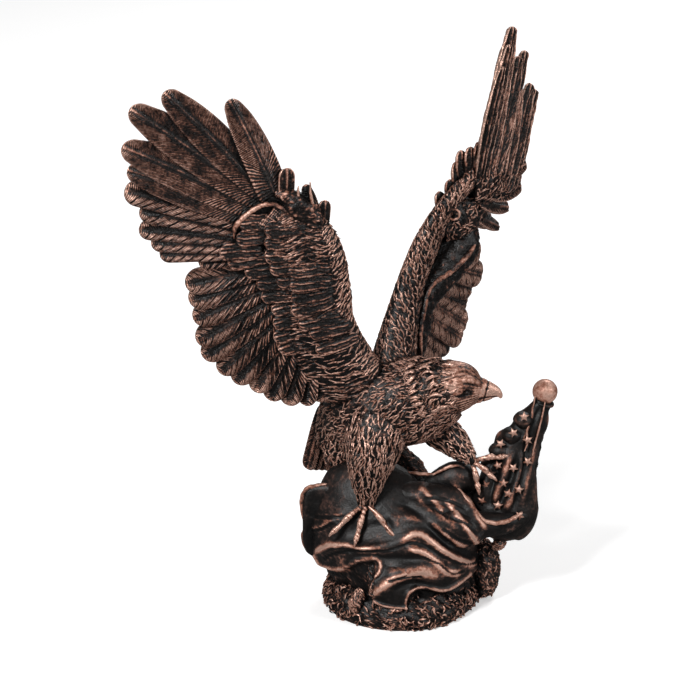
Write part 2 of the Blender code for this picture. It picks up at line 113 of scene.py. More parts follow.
def ball(sides, rings):
    """The ball's mesh, and the share along and the angle round of each of its points."""
    if (sides, rings) not in balls:
        net = bmesh.new()
        bmesh.ops.create_uvsphere(net, u_segments=sides, v_segments=rings, radius=1.0)
        mesh = bpy.data.meshes.new(f"ball_{sides}_{rings}")
        net.to_mesh(mesh)
        spots = np.array([vertex.co[:] for vertex in net.verts])
        net.free()
        along = 1.0 - np.arccos(np.clip(spots[:, 2], -1.0, 1.0)) / math.pi
        balls[(sides, rings)] = (mesh, along, np.arctan2(spots[:, 1], spots[:, 0]))
    return balls[(sides, rings)]


class Clay:
    """One piece in the making: its net of balls, and what is known of each point.

    For each point it keeps the copper that the brush leaves, from 0 to 1, from which painted shade is later
    taken in crowded hollows and under the brow. `line` counts millimetres across the fine lines that the
    finish draws on feathers, and `fine` is how strong those lines are.
    """

    def __init__(self, name):
        self.name = name
        self.net = bmesh.new()
        self.spots, self.rub, self.line, self.fine = [], [], [], []

    def stamp(self, mesh, spots, rub, line=0.0, fine=0.0, copies=1):
        for _ in range(copies):
            self.net.from_mesh(mesh, face_normals=False, vertex_normals=False)
        self.spots.append(spots)
        for store, value in ((self.rub, rub), (self.line, line), (self.fine, fine)):
            store.append(np.broadcast_to(np.asarray(value, float), (len(spots),)))


def tell(clay):
    print(clay.name, sum(map(len, clay.spots)), "points")


print("smallest ball", len(ball(6, 5)[1]), "points")

# %% [markdown]
# A loft lays the ball's rings along a curve, as a sculptor rolls clay over a wire. Its stations
# hold x, y, z and the two half sizes. The same reading also gives the direction straight out of
# the surface, which relief and feathers need.

# %% Lofts and cords
def skin(keys, side, along, angle):
    """Spots on a loft, the way out of it there and the way along it."""
    row = spline(keys, along)
    path = np.asarray(keys, float)[:, :3]
    ahead = unit_rows(spline(path, along + 0.02) - spline(path, along - 0.02))
    side = np.asarray(side, float)
    sideways = unit_rows(side - (ahead @ side)[:, None] * ahead)
    across = np.cross(ahead, sideways)
    open_ring = ((along > 1e-6) & (along < 1 - 1e-6))[:, None]
    turn, lift = np.cos(angle)[:, None], np.sin(angle)[:, None]
    spots = row[:, :3] + (sideways * turn * row[:, 3:4] + across * lift * row[:, 4:5]) * open_ring
    out = unit_rows(sideways * turn * row[:, 4:5] + across * lift * row[:, 3:4])
    return spots, np.where(open_ring, out, 0.0), ahead


def loft(clay, keys, side, sides, rings, relief=None, rub=0.4, crowd=0.0):
    """Add a loft; `relief(spots)` gives millimetres to move out and the copper to add there.

    `crowd` draws the ring's points toward the two ends of its second axis, for finer relief.
    """
    mesh, along, angle = ball(sides, rings)
    if crowd:
        angle = angle + crowd * np.cos(angle)
    spots, out, _ = skin(keys, side, along, angle)
    if relief is not None:
        lift, more = relief(spots)
        spots = spots + out * lift[:, None]
        rub = rub + more
    clay.stamp(mesh, spots, rub)


# A direction that no cord runs along, to turn its rings by
CORD_SIDE = (0.13, 0.99, 0.07)


def cord(clay, path, width, sides=12, rings=40, rub=0.75, uneven=0.08, ends=0.5):
    """A rolled rim, pole or line, a little uneven as if pressed by hand, and thinner at its ends."""
    places = np.linspace(0.0, 1.0, len(path))
    widths = width / 2 * np.interp(places, (0.0, 0.12, 0.88, 1.0), (ends, 1.0, 1.0, ends))
    keys = [(*spot, wide, wide) for spot, wide in zip(path, widths)]

    def pressed(spots):
        wave = np.sin(spots @ (0.9, 0.5, 0.7)) * np.sin(spots @ (0.31, -0.4, 0.23) + 1.0)
        return wave * width * uneven, 0.0 * wave

    loft(clay, keys, CORD_SIDE, sides, rings, pressed, rub)


print("lofts and cords ready")

# %% [markdown]
# A flight feather has a shaft, two vanes and slanting barbs. Straight rings would cut such barbs
# into steps, so here each ring is bent to a V, as the barbs are, and the grooves run along the
# rings. The rim stands up a little, which is what the copper brush touched on the real casting.

# %% One flight feather
VANE = ((0.0, 1.0), (0.06, 0.965), (0.13, 0.87), (0.20, 0.72), (0.27, 0.52), (0.34, 0.32), (0.41, 0.16),
        (0.46, 0.07), (0.50, 0.0))
BLUNT = (0.46, 0.75, 0.92, 1.0, 1.0, 0.92)
POINTED = (0.45, 0.75, 0.95, 1.0, 0.85, 0.50)
WIDE_ROOT = (1.0, 1.05, 1.05, 0.98, 0.82, 0.48)
SPEAR = (0.60, 0.80, 1.0, 1.0, 0.86, 0.46)


def feather(clay, root, tip, width, side, bow=0.0, thick=2.6, sides=32, pitch=5.0, depth=0.55, tilt=0.10,
            slant=0.75, rub=0.0, fine=1.0, step=1.25, shaft=0.7, curl=0.0, ragged=0.0, outline=BLUNT,
            pillow=0.0, strands=0.0, rim=0.25):
    """A blade from root to tip.

    `bow` and `curl` bend it sideways and forward, and `tilt` tucks one vane under the next blade.
    `pitch`, `depth` and `slant` are of its deep barbs, and `ragged` makes them uneven. The other
    heights are `shaft`, `pillow` for the crown of each vane, `rim` for its edge and `strands` for
    fine ridges along the blade.
    """
    root, tip = np.asarray(root, float), np.asarray(tip, float)
    length = float(np.linalg.norm(tip - root))
    mesh, along, angle = ball(sides, max(8, int(length / step)))
    ahead = (tip - root) / length
    side = np.asarray(side, float) - ahead * (np.asarray(side, float) @ ahead)
    side = side / np.linalg.norm(side)
    front = np.cross(side, ahead)
    side = side - front * tilt
    shares = np.abs(angle) / math.pi
    half = np.interp(np.minimum(shares, 1 - shares), *np.transpose(VANE))
    vane = np.where(shares <= 0.5, half, -half)
    at = along * length
    taper = np.clip((length - at) / (1.3 * width), 0, 1) * np.clip(at / width, 0, 1)
    reach = at + slant * np.abs(vane) * width / 2 * taper
    share = np.clip(reach / length, 0, 1)
    blunt = width * 0.55 * outline[-1]
    end = np.clip((reach - (length - blunt)) / blunt, 0, 1)
    start = np.clip(at / (width * 0.25), 0, 1)
    breadth = spline([(value,) for value in outline], share)[:, 0]
    half_width = width / 2 * breadth * np.sqrt(1 - end ** 2) * np.sqrt(1 - (1 - start) ** 2)
    edge = np.abs(vane)
    own = chance.uniform(0, 6.28)
    wave = 0.5 + 0.5 * np.cos(2 * math.pi * (at + ragged * np.sin(at * 0.9 + own)) / pitch + own)
    groove = wave ** 3 * smooth_step(0.10, 0.28, edge) * smooth_step(1.0, 0.85, edge)
    groove = groove * smooth_step(0.0, 0.10, share) * smooth_step(1.0, 0.95, share)
    body = np.sqrt(np.clip(1 - edge ** 2, 0, 1)) ** 0.6 * thick / 2 * (1.0 - 0.35 * share)
    body = body * np.sqrt(np.clip(1 - end ** 4, 0, 1)) * start
    off = vane * half_width
    rib = shaft * bell(off, 0.6) * (1.0 - 0.6 * share) - 0.45 * bell(np.abs(off) - 1.5, 0.55)
    crown = np.sin(math.pi * np.clip(edge, 0, 1))
    hair = np.sin(2 * math.pi * off / 2.2 + 1.1 * np.sin(at / 3.1 + own) + 0.7 * np.sin(at / 1.3 + 2 * own))
    lift = body + (rib + rim * bell(edge - 0.92, 0.08) - depth * groove + pillow * crown * (1 - 0.6 * groove)
                   + strands * hair) * start * (1 - end ** 4)
    spine = root + ahead * reach[:, None] + side * (bow * np.sin(share * math.pi))[:, None]
    spine = spine + front * (curl * share ** 2)[:, None]
    spots = spine + side * off[:, None] + front * (np.sign(angle) * lift)[:, None]
    copper = 0.40 + 0.5 * rim * bell(edge - 0.97, 0.10) + 0.12 * bell(off, 0.6)
    copper -= 0.22 * bell(np.abs(off) - 1.5, 0.6) + 0.42 * groove * min(1.0, 2 * depth)
    copper += 0.30 * pillow * (crown ** 2 - 0.45) + 0.35 * strands * hair + 0.22 * end ** 2
    copper += rub - 0.15 * (1 - smooth_step(0.0, 0.25, share)) + chance.uniform(-0.05, 0.05)
    clay.stamp(mesh, spots, copper, at + 0.3 * np.abs(off), fine * smooth_step(0.05, 0.2, edge))


print("feather net", len(ball(32, 60)[1]), "points")

# %% [markdown]
# Hackles and small coverts are far too many for such blades. They are tufts: balls of six sides
# and a few rings, pinched to a ridge on top, bent a little, sunk at the root and lifted at the tip.
# Hundreds of them lie in rows over a loft, and a formula gives the way they flow.

# %% Rows of tufts
def tufts(clay, spots, out, ways, length, width, thick, curl, rub, sink=0.5, rings=5):
    """Lay one tuft at each spot, along its way, with its ridge pointing out."""
    mesh, along, angle = ball(6, rings)
    count = len(spots)
    size = length * chance.uniform(0.8, 1.2, count)
    broad = width * chance.uniform(0.8, 1.15, count)
    bend = curl * chance.uniform(-1.0, 1.0, count)
    ways = unit_rows(ways - out * np.sum(ways * out, axis=1, keepdims=True))
    beside = np.cross(out, ways)
    turn = angle + math.pi / 2
    breadth = np.sin(along * math.pi) ** 0.6 * (1.15 - 0.5 * along)
    at = (along - 0.45)[None, :] * size[:, None]
    sway = np.sin(along * math.pi)[None, :] * bend[:, None]
    over = np.cos(turn)[None, :] * (breadth / 2)[None, :] * broad[:, None]
    lift = np.sin(turn) * breadth * thick / 2 - sink + 1.1 * sink * along
    made = (spots[:, None, :] + ways[:, None, :] * at[:, :, None]
            + beside[:, None, :] * (sway + over)[:, :, None] + out[:, None, :] * lift[None, :, None])
    copper = 0.15 + 0.45 * smooth_step(0.2, 1.0, np.sin(turn)) + 0.25 * smooth_step(0.5, 1.0, along)
    copper = copper[None, :] + chance.uniform(-0.15, 0.15, count)[:, None] + rub - 0.4
    clay.stamp(mesh, made.reshape(-1, 3), copper.reshape(-1), (over + sway).reshape(-1), 0.6, copies=count)


def cover(clay, keys, side, flow, length, width, gap_along, gap_round, first=0.05, last=0.95, keep=None,
          wander=0.25, **more):
    """Tufts in staggered rows all round a loft.

    `flow` gives their direction from the spots and the way along the loft, `wander` is how far they
    stray from it, and `keep` says which spots get a tuft.
    """
    keys = np.asarray(keys, float)
    reach = np.sum(np.linalg.norm(np.diff(keys[:, :3], axis=0), axis=1)) * (last - first)
    shares, angles = [], []
    rows = max(2, int(reach / gap_along))
    around = np.linspace(0, 2 * math.pi, 129)
    for row in range(rows):
        share = first + (last - first) * row / (rows - 1)
        _, _, _, wide, deep = at_share(keys, share)
        pieces = np.hypot(np.diff(np.cos(around)) * wide, np.diff(np.sin(around)) * deep)
        lengths = np.concatenate(([0.0], np.cumsum(pieces)))
        count = max(5, int(lengths[-1] / gap_round))
        marks = (np.arange(count) + 0.5 * (row % 2) + chance.uniform(-0.2, 0.2, count)) / count
        angles.append(np.interp((marks % 1.0) * lengths[-1], lengths, around))
        shares.append(np.full(count, share) + chance.uniform(-0.3, 0.3, count) / rows * (last - first))
    spots, out, ahead = skin(keys, side, np.clip(np.concatenate(shares), 0.01, 0.99), np.concatenate(angles))
    ways = flow(spots, ahead)
    ways = ways + np.cross(out, ways) * chance.uniform(-wander, wander, len(spots))[:, None]
    if keep is not None:
        kept = keep(spots, out)
        spots, out, ways = spots[kept], out[kept], ways[kept]
    tufts(clay, spots, out, ways, length, width, **more)
    return len(spots)


print("tufts ready")

# %% [markdown]
# The rock is a low mound with a rough, curly crust. Crossed waves give its stones, and bent tufts
# scattered over them give the little worms of clay that the real one has.

# %% Plinth
def lumps(spots, size):
    x, y, z = (spots * (2 * math.pi / size)).T
    first = np.sin(x + 1.3 * np.sin(y * 0.7 + z)) * np.sin(y * 1.1 + 0.8 * np.sin(z * 1.3 + x * 0.6))
    return 0.65 * first + 0.35 * np.sin(1.9 * x + 2.3 * z) * np.sin(2.1 * y - 1.7 * z + 1.0)


def crust(spots):
    """Stones with a crust of small curls on them."""
    fine = np.abs(lumps(spots, 5.0)) + 0.6 * np.abs(lumps(spots[:, [2, 0, 1]], 3.1))
    return 1.3 * lumps(spots, 17.0) + 0.9 * fine - 0.5, 0.35 * fine - 0.15 + 0.1 * lumps(spots, 9.0)


rock = Clay("plinth_rock")
# Half width, half depth and height; then the outline's level and reach, as shares of them
PLINTH_SIZE = (54, 52, 20)
PLINTH_OUTLINE = ((-0.30, 0.93), (-0.10, 0.97), (0.10, 1.0), (0.35, 1.02), (0.60, 0.99), (0.80, 0.93),
                  (1.0, 0.80), (1.12, 0.50))
CURLS = 620


def plinth_spots(along, angle):
    level, reach = spline(PLINTH_OUTLINE, along).T
    across, deep = np.cos(angle), np.sin(angle)
    corner = 0.965 + 0.105 * np.cos(angle - math.radians(232)) + 0.060 * np.cos(2 * (angle - math.radians(70)))
    corner -= 0.075 * bell(np.cos(angle - math.radians(324)) - 1, 0.12)
    reach = reach * corner * ((along > 1e-6) & (along < 1 - 1e-6))
    out = unit_rows(np.column_stack((across, deep, 0.3 + 0.9 * smooth_step(0.4, 1.0, level))))
    return np.column_stack((reach * across, reach * deep, level)) * PLINTH_SIZE, out


mesh, along, angle = ball(300, 60)
spots, out = plinth_spots(along, angle)
lift, more = crust(spots)
spots = spots + out * (lift * smooth_step(0.0, 2.0, spots[:, 2]))[:, None]
spots[:, 2] = np.maximum(spots[:, 2], 0.0)
rock.stamp(mesh, spots, 0.26 + more)
spots, out = plinth_spots(chance.uniform(0.22, 0.86, CURLS), chance.uniform(-math.pi, math.pi, CURLS))
ways = chance.normal(size=(CURLS, 3))
tufts(rock, spots + out * 0.9, out, ways, 4.8, 1.8, 1.5, curl=1.6, rub=0.27, sink=0.6)
tell(rock)

# %% [markdown]
# Three stones stand up from the rock: one behind the near leg, one under the starred corner and a
# small one at the front. Curls lie over the two large ones in any direction.

# %% Standing stones
STONE_BEHIND = ((-4, 24, 62, 15, 12), (-4, 27, 71, 14, 11), (-8, 28, 81, 10, 9), (-12, 28, 89, 6, 5))
STONE_BESIDE = ((44, -2, 6, 9, 14), (46, -3, 16, 10, 14), (46, -4, 26, 10, 12), (45, -4, 34, 7, 9),
                (43, -4, 39, 3, 4))
STONE_IN_FRONT = ((-36, -44, 9, 3, 3), (-35, -46, 14, 4.5, 5), (-33, -47, 20, 4, 4), (-31, -46, 24, 2, 2))


def any_way(spots, ahead):
    return chance.normal(size=spots.shape)


for keys in (STONE_BEHIND, STONE_BESIDE):
    loft(rock, keys, (1, 0, 0), 72, 40, crust, 0.3)
    cover(rock, keys, (1, 0, 0), any_way, 4.8, 1.8, 3.4, 4.0, thick=1.5, curl=1.8, rub=0.27)
loft(rock, STONE_IN_FRONT, (1, 0, 0), 40, 30, crust, 0.42)
tell(rock)

# %% [markdown]
# The flag is smooth cloth over the rock. Its folds are read in the front view, as a sculptor
# draws them: each is a line with a height and a width. The sewn stripes are sharp thin grooves, and
# the copper lies on the crests of the folds.

# %% Folds and stripes of the cloth
LEAN = math.radians(20)

FLAG_LEVELS = (
    # left, right, front, back, height
    (-44, 44, -46, 42, 8),
    (-46, 44, -50, 42, 18),
    (-51, 43, -51, 40, 29),
    (-61, 42, -49, 37, 41),
    (-65, 41, -44, 34, 54),
    (-65, 36, -37, 27, 66),
    (-56, 26, -27, 18, 74),
    (-38, 14, -17, 14, 79.5),
    (-22, 4, -6, 11, 82),
)

# A fold is a line of x and height in the front view, then how far it stands out, its width and copper
FOLDS = (
    (((3, 70), (9, 66), (15, 60), (19, 54)), 2.2, 3.0, 0.42),
    (((23, 74), (32, 66), (37, 56.5), (42.5, 48), (48, 43)), 2.0, 2.4, 0.42),
    (((20, 62), (26.5, 54.5), (33, 45), (39, 38), (45, 31)), 2.2, 3.0, 0.48),
    (((-1, 69), (7, 60), (15, 52), (24, 47), (34, 38)), 2.0, 3.0, 0.18),
    (((-8, 52), (5, 50), (18, 43.5), (28.5, 36), (39, 30)), 2.2, 3.2, 0.26),
    (((-12, 37), (-6, 39), (0, 42), (5.5, 41.5), (12.5, 36), (20, 30), (28.5, 24.5), (36, 22), (42, 23)),
     3.4, 3.4, 0.58),
    (((-5, 33), (0, 32), (7, 30), (13.5, 24.5), (20, 18), (27, 17), (33, 19)), 2.8, 3.0, 0.52),
    (((-62, 25), (-58, 30), (-52, 34), (-47, 35), (-38, 35), (-28, 33), (-16, 34)), 2.8, 3.0, 0.50),
    (((-27, 3), (-22, 6), (-16, 10.5), (-8, 15), (3, 18), (13, 16), (23, 12)), 3.4, 4.6, 0.40),
    (((-18, 18), (-6.6, 19.5), (3, 22), (14, 20)), 1.6, 2.4, 0.15),
    (((-66, 43), (-57, 45), (-50, 50), (-38, 58)), 1.4, 2.6, 0.10),
    (((-40, 46), (-24, 45), (-12, 49)), -2.5, 6.0, -0.20),
    (((-12, 61), (-2, 57), (8, 49), (18, 38), (26, 31)), -2.0, 2.6, -0.22),
    (((-40, 26), (-20, 26), (-6, 26), (6, 22)), -1.6, 3.0, -0.18),
    (((-14, 7), (0, 11), (14, 8)), -1.6, 3.0, -0.20),
    (((26, 33), (34, 28), (43, 28)), -1.6, 2.6, -0.20),
)
RIMS = (
    (((-60, 26), (-57.5, 21.3), (-51.4, 19.1), (-45, 18.6), (-36.5, 23.4), (-31.2, 25.6), (-23.7, 26.1),
      (-20, 23.4), (-20.5, 18.1), (-24.8, 12.7), (-27.4, 7.4), (-26.9, 2.1), (-20.5, -2.2), (-12, -4.2),
      (-4, -4.4)), 1.8, 1.1, 0.42),
    (((-4.6, -6), (-4.2, 0), (-2.6, 4.6), (1.5, 7.6), (7, 8.4), (13, 7.2), (19, 6), (26, 8), (36, 15)),
     1.7, 1.1, 0.40),
)
# Height of the hem over the rock, left to right
UNDER = ((-66, 24), (-60, 22), (-57, 20), (-51, 17.6), (-45, 17), (-36.5, 21.8), (-31, 24), (-24, 24))
BESIDE = ((-4, -20), (-3, 2), (1.5, 6), (7, 6.8), (13, 5.6), (19, 4.4), (26, 6.4), (36, 13), (46, 22))
STRIPES = (
    ((-20, 30), (-12, 32), (-2, 36), (5, 35), (11.6, 32), (20, 26.6), (29.7, 22.3), (39, 22), (42, 25)),
    ((-56, 24), (-50, 28), (-42, 30), (-33, 31), (-16, 31)),
    ((5, 28), (15, 23.4), (20, 19), (24.4, 16.5), (33, 18)),
    ((8, 63), (17, 63), (26.5, 60), (34, 56)),
    ((11, 58), (19, 53), (22, 50)),
    ((23, 51), (33, 47), (40, 41)),
    ((18, 45), (28.6, 38.4), (38, 35)),
    ((-66, 42), (-57, 43.7), (-49, 48)),
    ((-66, 54), (-60, 51), (-42, 52)),
    ((-16, 12), (-4, 15), (6, 16)),
)


def gap_to(flat, line, count=60):
    """Distance of each spot of the front view to a line, and the share along it that is nearest."""
    route = spline(line, np.linspace(0.0, 1.0, count))
    apart = flat[:, None, :] - route[None, :, :]
    reach = np.linalg.norm(apart, axis=2)
    nearest = np.argmin(reach, axis=1)
    return reach[np.arange(len(flat)), nearest], nearest / (count - 1)


def in_front_view(spots):
    return np.column_stack((spots[:, 0], spots[:, 2] * math.cos(LEAN) + spots[:, 1] * math.sin(LEAN)))


def folded(flat, folds, stripes):
    """Height and copper of the folds and of the sewn stripes; each fold runs out at both ends."""
    out, copper = np.zeros(len(flat)), np.zeros(len(flat))
    for line, height, width, rubbed in folds:
        gap, share = gap_to(flat, line)
        ends = smooth_step(0.0, 0.22, share) * smooth_step(1.0, 0.78, share)
        out += height * bell(gap, width) * ends
        copper += rubbed * bell(gap, 0.55 * width) * ends
    for line in stripes:
        gap, share = gap_to(flat, line)
        ends = smooth_step(0.0, 0.1, share) * smooth_step(1.0, 0.9, share)
        out -= 0.9 * bell(gap, 0.60) * ends
        copper += (0.14 * bell(gap - 1.5, 0.6) - 0.6 * bell(gap, 0.75)) * ends
    return out, copper


def cloth(spots):
    """Folds, sewn stripes and hems in front, rock below the hems and a plain drape at the back."""
    front = smooth_step(-2.0, -20.0, spots[:, 1]) + smooth_step(-38, -52, spots[:, 0]) * (spots[:, 1] < 6)
    front = np.clip(front, 0, 1)
    flat = in_front_view(spots)
    out, copper = folded(flat, FOLDS, STRIPES)
    for line, height, width, rubbed in RIMS:
        gap, _ = gap_to(flat, line, 120)
        out += height * bell(gap, width)
        copper += rubbed * bell(gap, 0.8 * width)
    x, up = flat.T
    left = smooth_step(0.0, 2.0, np.interp(x, *np.transpose(UNDER)) - up) * (x < -24)
    right = smooth_step(0.0, 2.0, np.interp(x, *np.transpose(BESIDE), left=-20) - up)
    below = np.maximum(left, right)
    rock_lift, rock_more = crust(spots)
    out = (out + below * (rock_lift - 3.2)) * front
    copper = (copper + below * (rock_more - 0.05)) * front
    back = smooth_step(2.0, 18.0, spots[:, 1])
    drape = np.sin(spots[:, 0] / 6.5 + spots[:, 2] / 14.0 + 1.2 * np.sin(spots[:, 2] / 19.0))
    out += 2.4 * drape * back + 0.25 * lumps(spots, 21.0)
    out -= 0.8 * bell(((spots[:, 2] + 0.25 * spots[:, 0]) % 17.0) - 8.5, 0.6) * back
    copper += 0.30 * smooth_step(0.3, 1.0, drape) * back + 0.06 * lumps(spots, 9.0)
    return out, copper


flag = Clay("draped_flag")
MOUND = [((left + right) / 2, (front + back) / 2, height, (right - left) / 2, (back - front) / 2)
         for left, right, front, back, height in FLAG_LEVELS]
loft(flag, MOUND, (1, 0, 0), 280, 140, cloth, 0.24, crowd=0.30)
tell(flag)

# %% [markdown]
# More lofts make the rolled crest, the shoulder, the hump under the chest, the side sheet and the tongue
# between the hems. Rims are cords along their edges, where the copper catches. The front view gives x and a
# height for each, and a depth is added.

# %% Rims, hems and the rolled crest
ROLL = ((2, -26, 60, 12, 12), (16, -27, 58, 12, 12), (30, -26, 57, 11.5, 11.5), (44, -22, 57, 8.5, 8.5),
        (57, -18, 57, 7.5, 7.5), (68, -12, 59, 7, 7), (73, -5, 62, 6, 6))
SIDE_SHEET = ((-36, -12, 55, 26, 9), (-50, -12, 55, 26, 8), (-59, -12, 55, 24.5, 6),
              (-64, -12, 55, 22.5, 4.5), (-67, -12, 55, 19, 3.5), (-68.5, -12, 55, 12, 2.2))
TONGUE = ((-14, -42, 40, 16, 6), (-13, -46, 30, 17, 8), (-11, -47, 22, 17, 8.5), (-12, -48, 15, 14, 7),
          (-13, -48, 11, 7, 4))
SHOULDER = ((-16, -14, 71, 12, 12), (-4, -16, 72, 12, 11), (8, -17, 71, 12.5, 10), (19, -18, 69.5, 13, 9.5),
            (28, -21, 64, 11.5, 9), (37, -25, 57, 9, 8.5), (44, -27, 52, 6, 6))
HUMP = ((8, -8, 79, 4, 4), (17, -8, 81, 8, 7.5), (26, -8, 83.5, 10, 10), (33, -8, 83, 9, 9.5),
        (38.5, -8, 79, 6, 6), (42, -8, 76, 2, 2))
HUMP_EDGE = ((12.6, -13, 87.0), (19, -14, 91), (24.4, -14, 93.4), (30, -13, 93.2), (35, -12, 89))
KNOB = ((54, -14, 44, 3, 3), (54.5, -14, 41, 4, 4), (54, -14, 37, 3, 3))
# x and height in the front view, then depth
CREST = ((-16, 79, -5), (-8, 78.5, -8), (5, 77.8, -9), (19, 75.6, -11), (27, 69.5, -17), (34, 62, -23),
         (40, 54, -27), (45, 49, -29), (53, 47.6, -28), (60, 49, -26), (65, 51.5, -23), (69, 54, -20))
FLAP = ((-40, 73), (-50, 71), (-59, 70.5), (-65, 69), (-68, 65), (-69, 58), (-67.5, 51), (-66.5, 45),
        (-68, 39), (-67, 33), (-63.5, 28), (-58, 24.5))
FLAP_DEPTH = -11.5


def at_depth(x, height, y):
    """The spot at depth y that the front view shows at x and this height."""
    return x, y, (height - y * math.sin(LEAN)) / math.cos(LEAN)


def hollow(spots):
    """The side sheet is dished, and its rim stands up."""
    out, copper = folded(in_front_view(spots), (), STRIPES)
    x, y, z = spots.T
    inner = smooth_step(-68, -60, x) * smooth_step(30, 40, z) * smooth_step(80, 70, z)
    return (out - 2.0 * inner) * (y < -11), copper - 0.1 * inner


loft(flag, ROLL, (0, 0, 1), 90, 90, cloth, 0.26)
loft(flag, SHOULDER, (0, 0, 1), 80, 76, cloth, 0.24)
loft(flag, SIDE_SHEET, (0, 0, 1), 90, 60, hollow, 0.24)
loft(flag, HUMP, (0, 1, 0), 60, 50, cloth, 0.26)
cord(flag, HUMP_EDGE, 2.0, rings=60, rub=0.50)
loft(flag, TONGUE, (1, 0, 0), 90, 70, cloth, 0.26)
cord(flag, [at_depth(*spot) for spot in CREST], 2.8, rings=110, rub=0.58)
cord(flag, [at_depth(x, height, FLAP_DEPTH) for x, height in FLAP], 3.0, rings=110, rub=0.50)
loft(flag, KNOB, (1, 0, 0), 32, 20, crust, 0.42)
tell(flag)

# %% [markdown]
# The starred corner hangs from the pole in a few soft folds, and its left edge ends in round lobes.
# Two seams run down it, and a ball sits on the pole.

# %% Starred corner and pole
CANTON = ((80, 5, 131, 3, 4), (79, 4, 126, 6, 6), (75.7, 3, 118, 9.3, 8), (71, 2, 109, 12, 8.5),
          (66, 1, 100, 14.5, 10), (62, -1, 90, 15.5, 11), (60.5, -3, 78, 18.5, 13), (58, -5, 66, 22, 14),
          (57, -7, 57, 21, 14), (53, -8, 51, 16, 12), (50, -8, 46, 10, 9))
POLE = ((82.5, 5, 134), (80.2, 4.5, 124), (77.4, 3.5, 110), (74.4, 2, 95), (72.4, 0, 80), (73, -3, 62))
COLLAR = ((82.6, 5, 130.4, 4, 4), (82.4, 5, 129.2, 6.6, 6.6), (82, 5, 127.6, 6.4, 6.4),
          (81.8, 5, 126.4, 5, 5))
FINIAL, FINIAL_RADIUS = (83.0, 5.0, 136.0), 7.9
TAG = ((74, -6, 87, 1.6, 1.6), (73.6, -6.4, 83, 2.6, 1.8), (73.6, -6.6, 78, 2.4, 1.8),
       (74.2, -6.4, 74, 1.4, 1.4))
# Middle and size
LOBES = (((69.6, -1, 121.5), 6.7), ((62.6, -2, 111.5), 7.2), ((55, -3, 101.5), 7.2), ((49, -3, 92), 6.0))
GATHERS = (
    (((75, 126), (75, 114), (72, 105), (68, 96)), 1.0, 1.6, 0.30),
    (((62, 93), (59, 81), (54, 69), (49, 59)), 2.4, 3.0, 0.16),
    (((69, 93), (67, 78), (62, 64), (57, 54)), 2.6, 3.0, 0.14),
    (((52, 87), (48, 78), (45, 69), (43, 60)), 1.8, 2.4, 0.16),
    (((78, 100), (74, 86), (71, 72), (68, 58)), 1.8, 2.4, 0.14),
    (((56, 88), (52, 77), (50, 67), (48, 56)), -2.0, 2.0, -0.24),
    (((66, 92), (63, 78), (58, 66), (53, 54)), -2.2, 2.2, -0.24),
    (((73, 102), (70.5, 84), (67, 69), (63, 54)), -2.4, 2.2, -0.26),
    (((80, 121), (74, 106), (71, 94)), -1.6, 1.8, -0.24),
)
SEAMS = (((76.5, 127), (75.5, 119), (73, 110), (71.5, 104), (72, 98), (70, 92)),
         ((83, 124), (81, 114), (78.5, 104), (76, 94), (74.5, 84)))


def on_front(form, x, height, proud):
    """The spot on a form's front that the front view shows at x and this height, found by steps."""
    rows = np.array(sorted(form, key=lambda row: row[2]), float)
    levels = rows[:, 2]
    y = -20.0
    for _ in range(40):
        z = at_depth(x, height, y)[2]
        face = 0.0
        if levels[0] <= z <= levels[-1]:
            mid_x, mid_y, wide, deep = (np.interp(z, levels, rows[:, part]) for part in (0, 1, 3, 4))
            if abs(x - mid_x) < wide * 0.98:
                face = min(face, mid_y - deep * math.sqrt(1 - ((x - mid_x) / wide) ** 2))
        y = 0.5 * y + 0.5 * (face - proud)
    return at_depth(x, height, y)


def gathers(spots):
    """Soft folds that fan out from the finial down to the lower left."""
    out, copper = folded(in_front_view(spots), GATHERS, ())
    front = smooth_step(4.0, -4.0, spots[:, 1])
    wave = np.sin(spots[:, 0] / 2.6 + spots[:, 2] / 9.0) * (1 - front) * smooth_step(131, 118, spots[:, 2])
    return out * front + 1.2 * wave, copper * front + 0.15 * wave


canton = Clay("starred_corner")
loft(canton, CANTON, (1, 0, 0), 160, 116, gathers, 0.30)
cord(canton, POLE, 11.5, sides=40, rings=90, rub=0.26, uneven=0.03, ends=0.9)
loft(canton, TAG, (1, 0, 0), 20, 20, crust, 0.62)
loft(canton, COLLAR, (1, 0, 0), 40, 16, rub=0.22)
for (x, y, z), size in LOBES:
    loft(canton, ((x, y, z - size, size / 2, 5), (x, y, z - 2, size, 7), (x, y, z + 2, size / 1.5, 5),
                  (x, y, z + 3, 1, 1)), (1, 0, 0), 40, 24, rub=0.28)
for seam in SEAMS:
    path = [on_front(CANTON, x, height, 0.9) if x < 82 else at_depth(x, height, -1) for x, height in seam]
    cord(canton, path, 1.3, sides=8, rings=50, rub=0.52)
mesh, along, angle = ball(64, 40)
ring = np.sin(along * math.pi)
finial = np.column_stack((ring * np.cos(angle), ring * np.sin(angle), -np.cos(along * math.pi)))
canton.stamp(mesh, finial * FINIAL_RADIUS + FINIAL, 0.54)
tell(canton)

# %% [markdown]
# The stars are generic five-pointed ones: circles of ten points, with every second point drawn in
# and the middle raised. The first three lie on the lobes, beside the cloth.

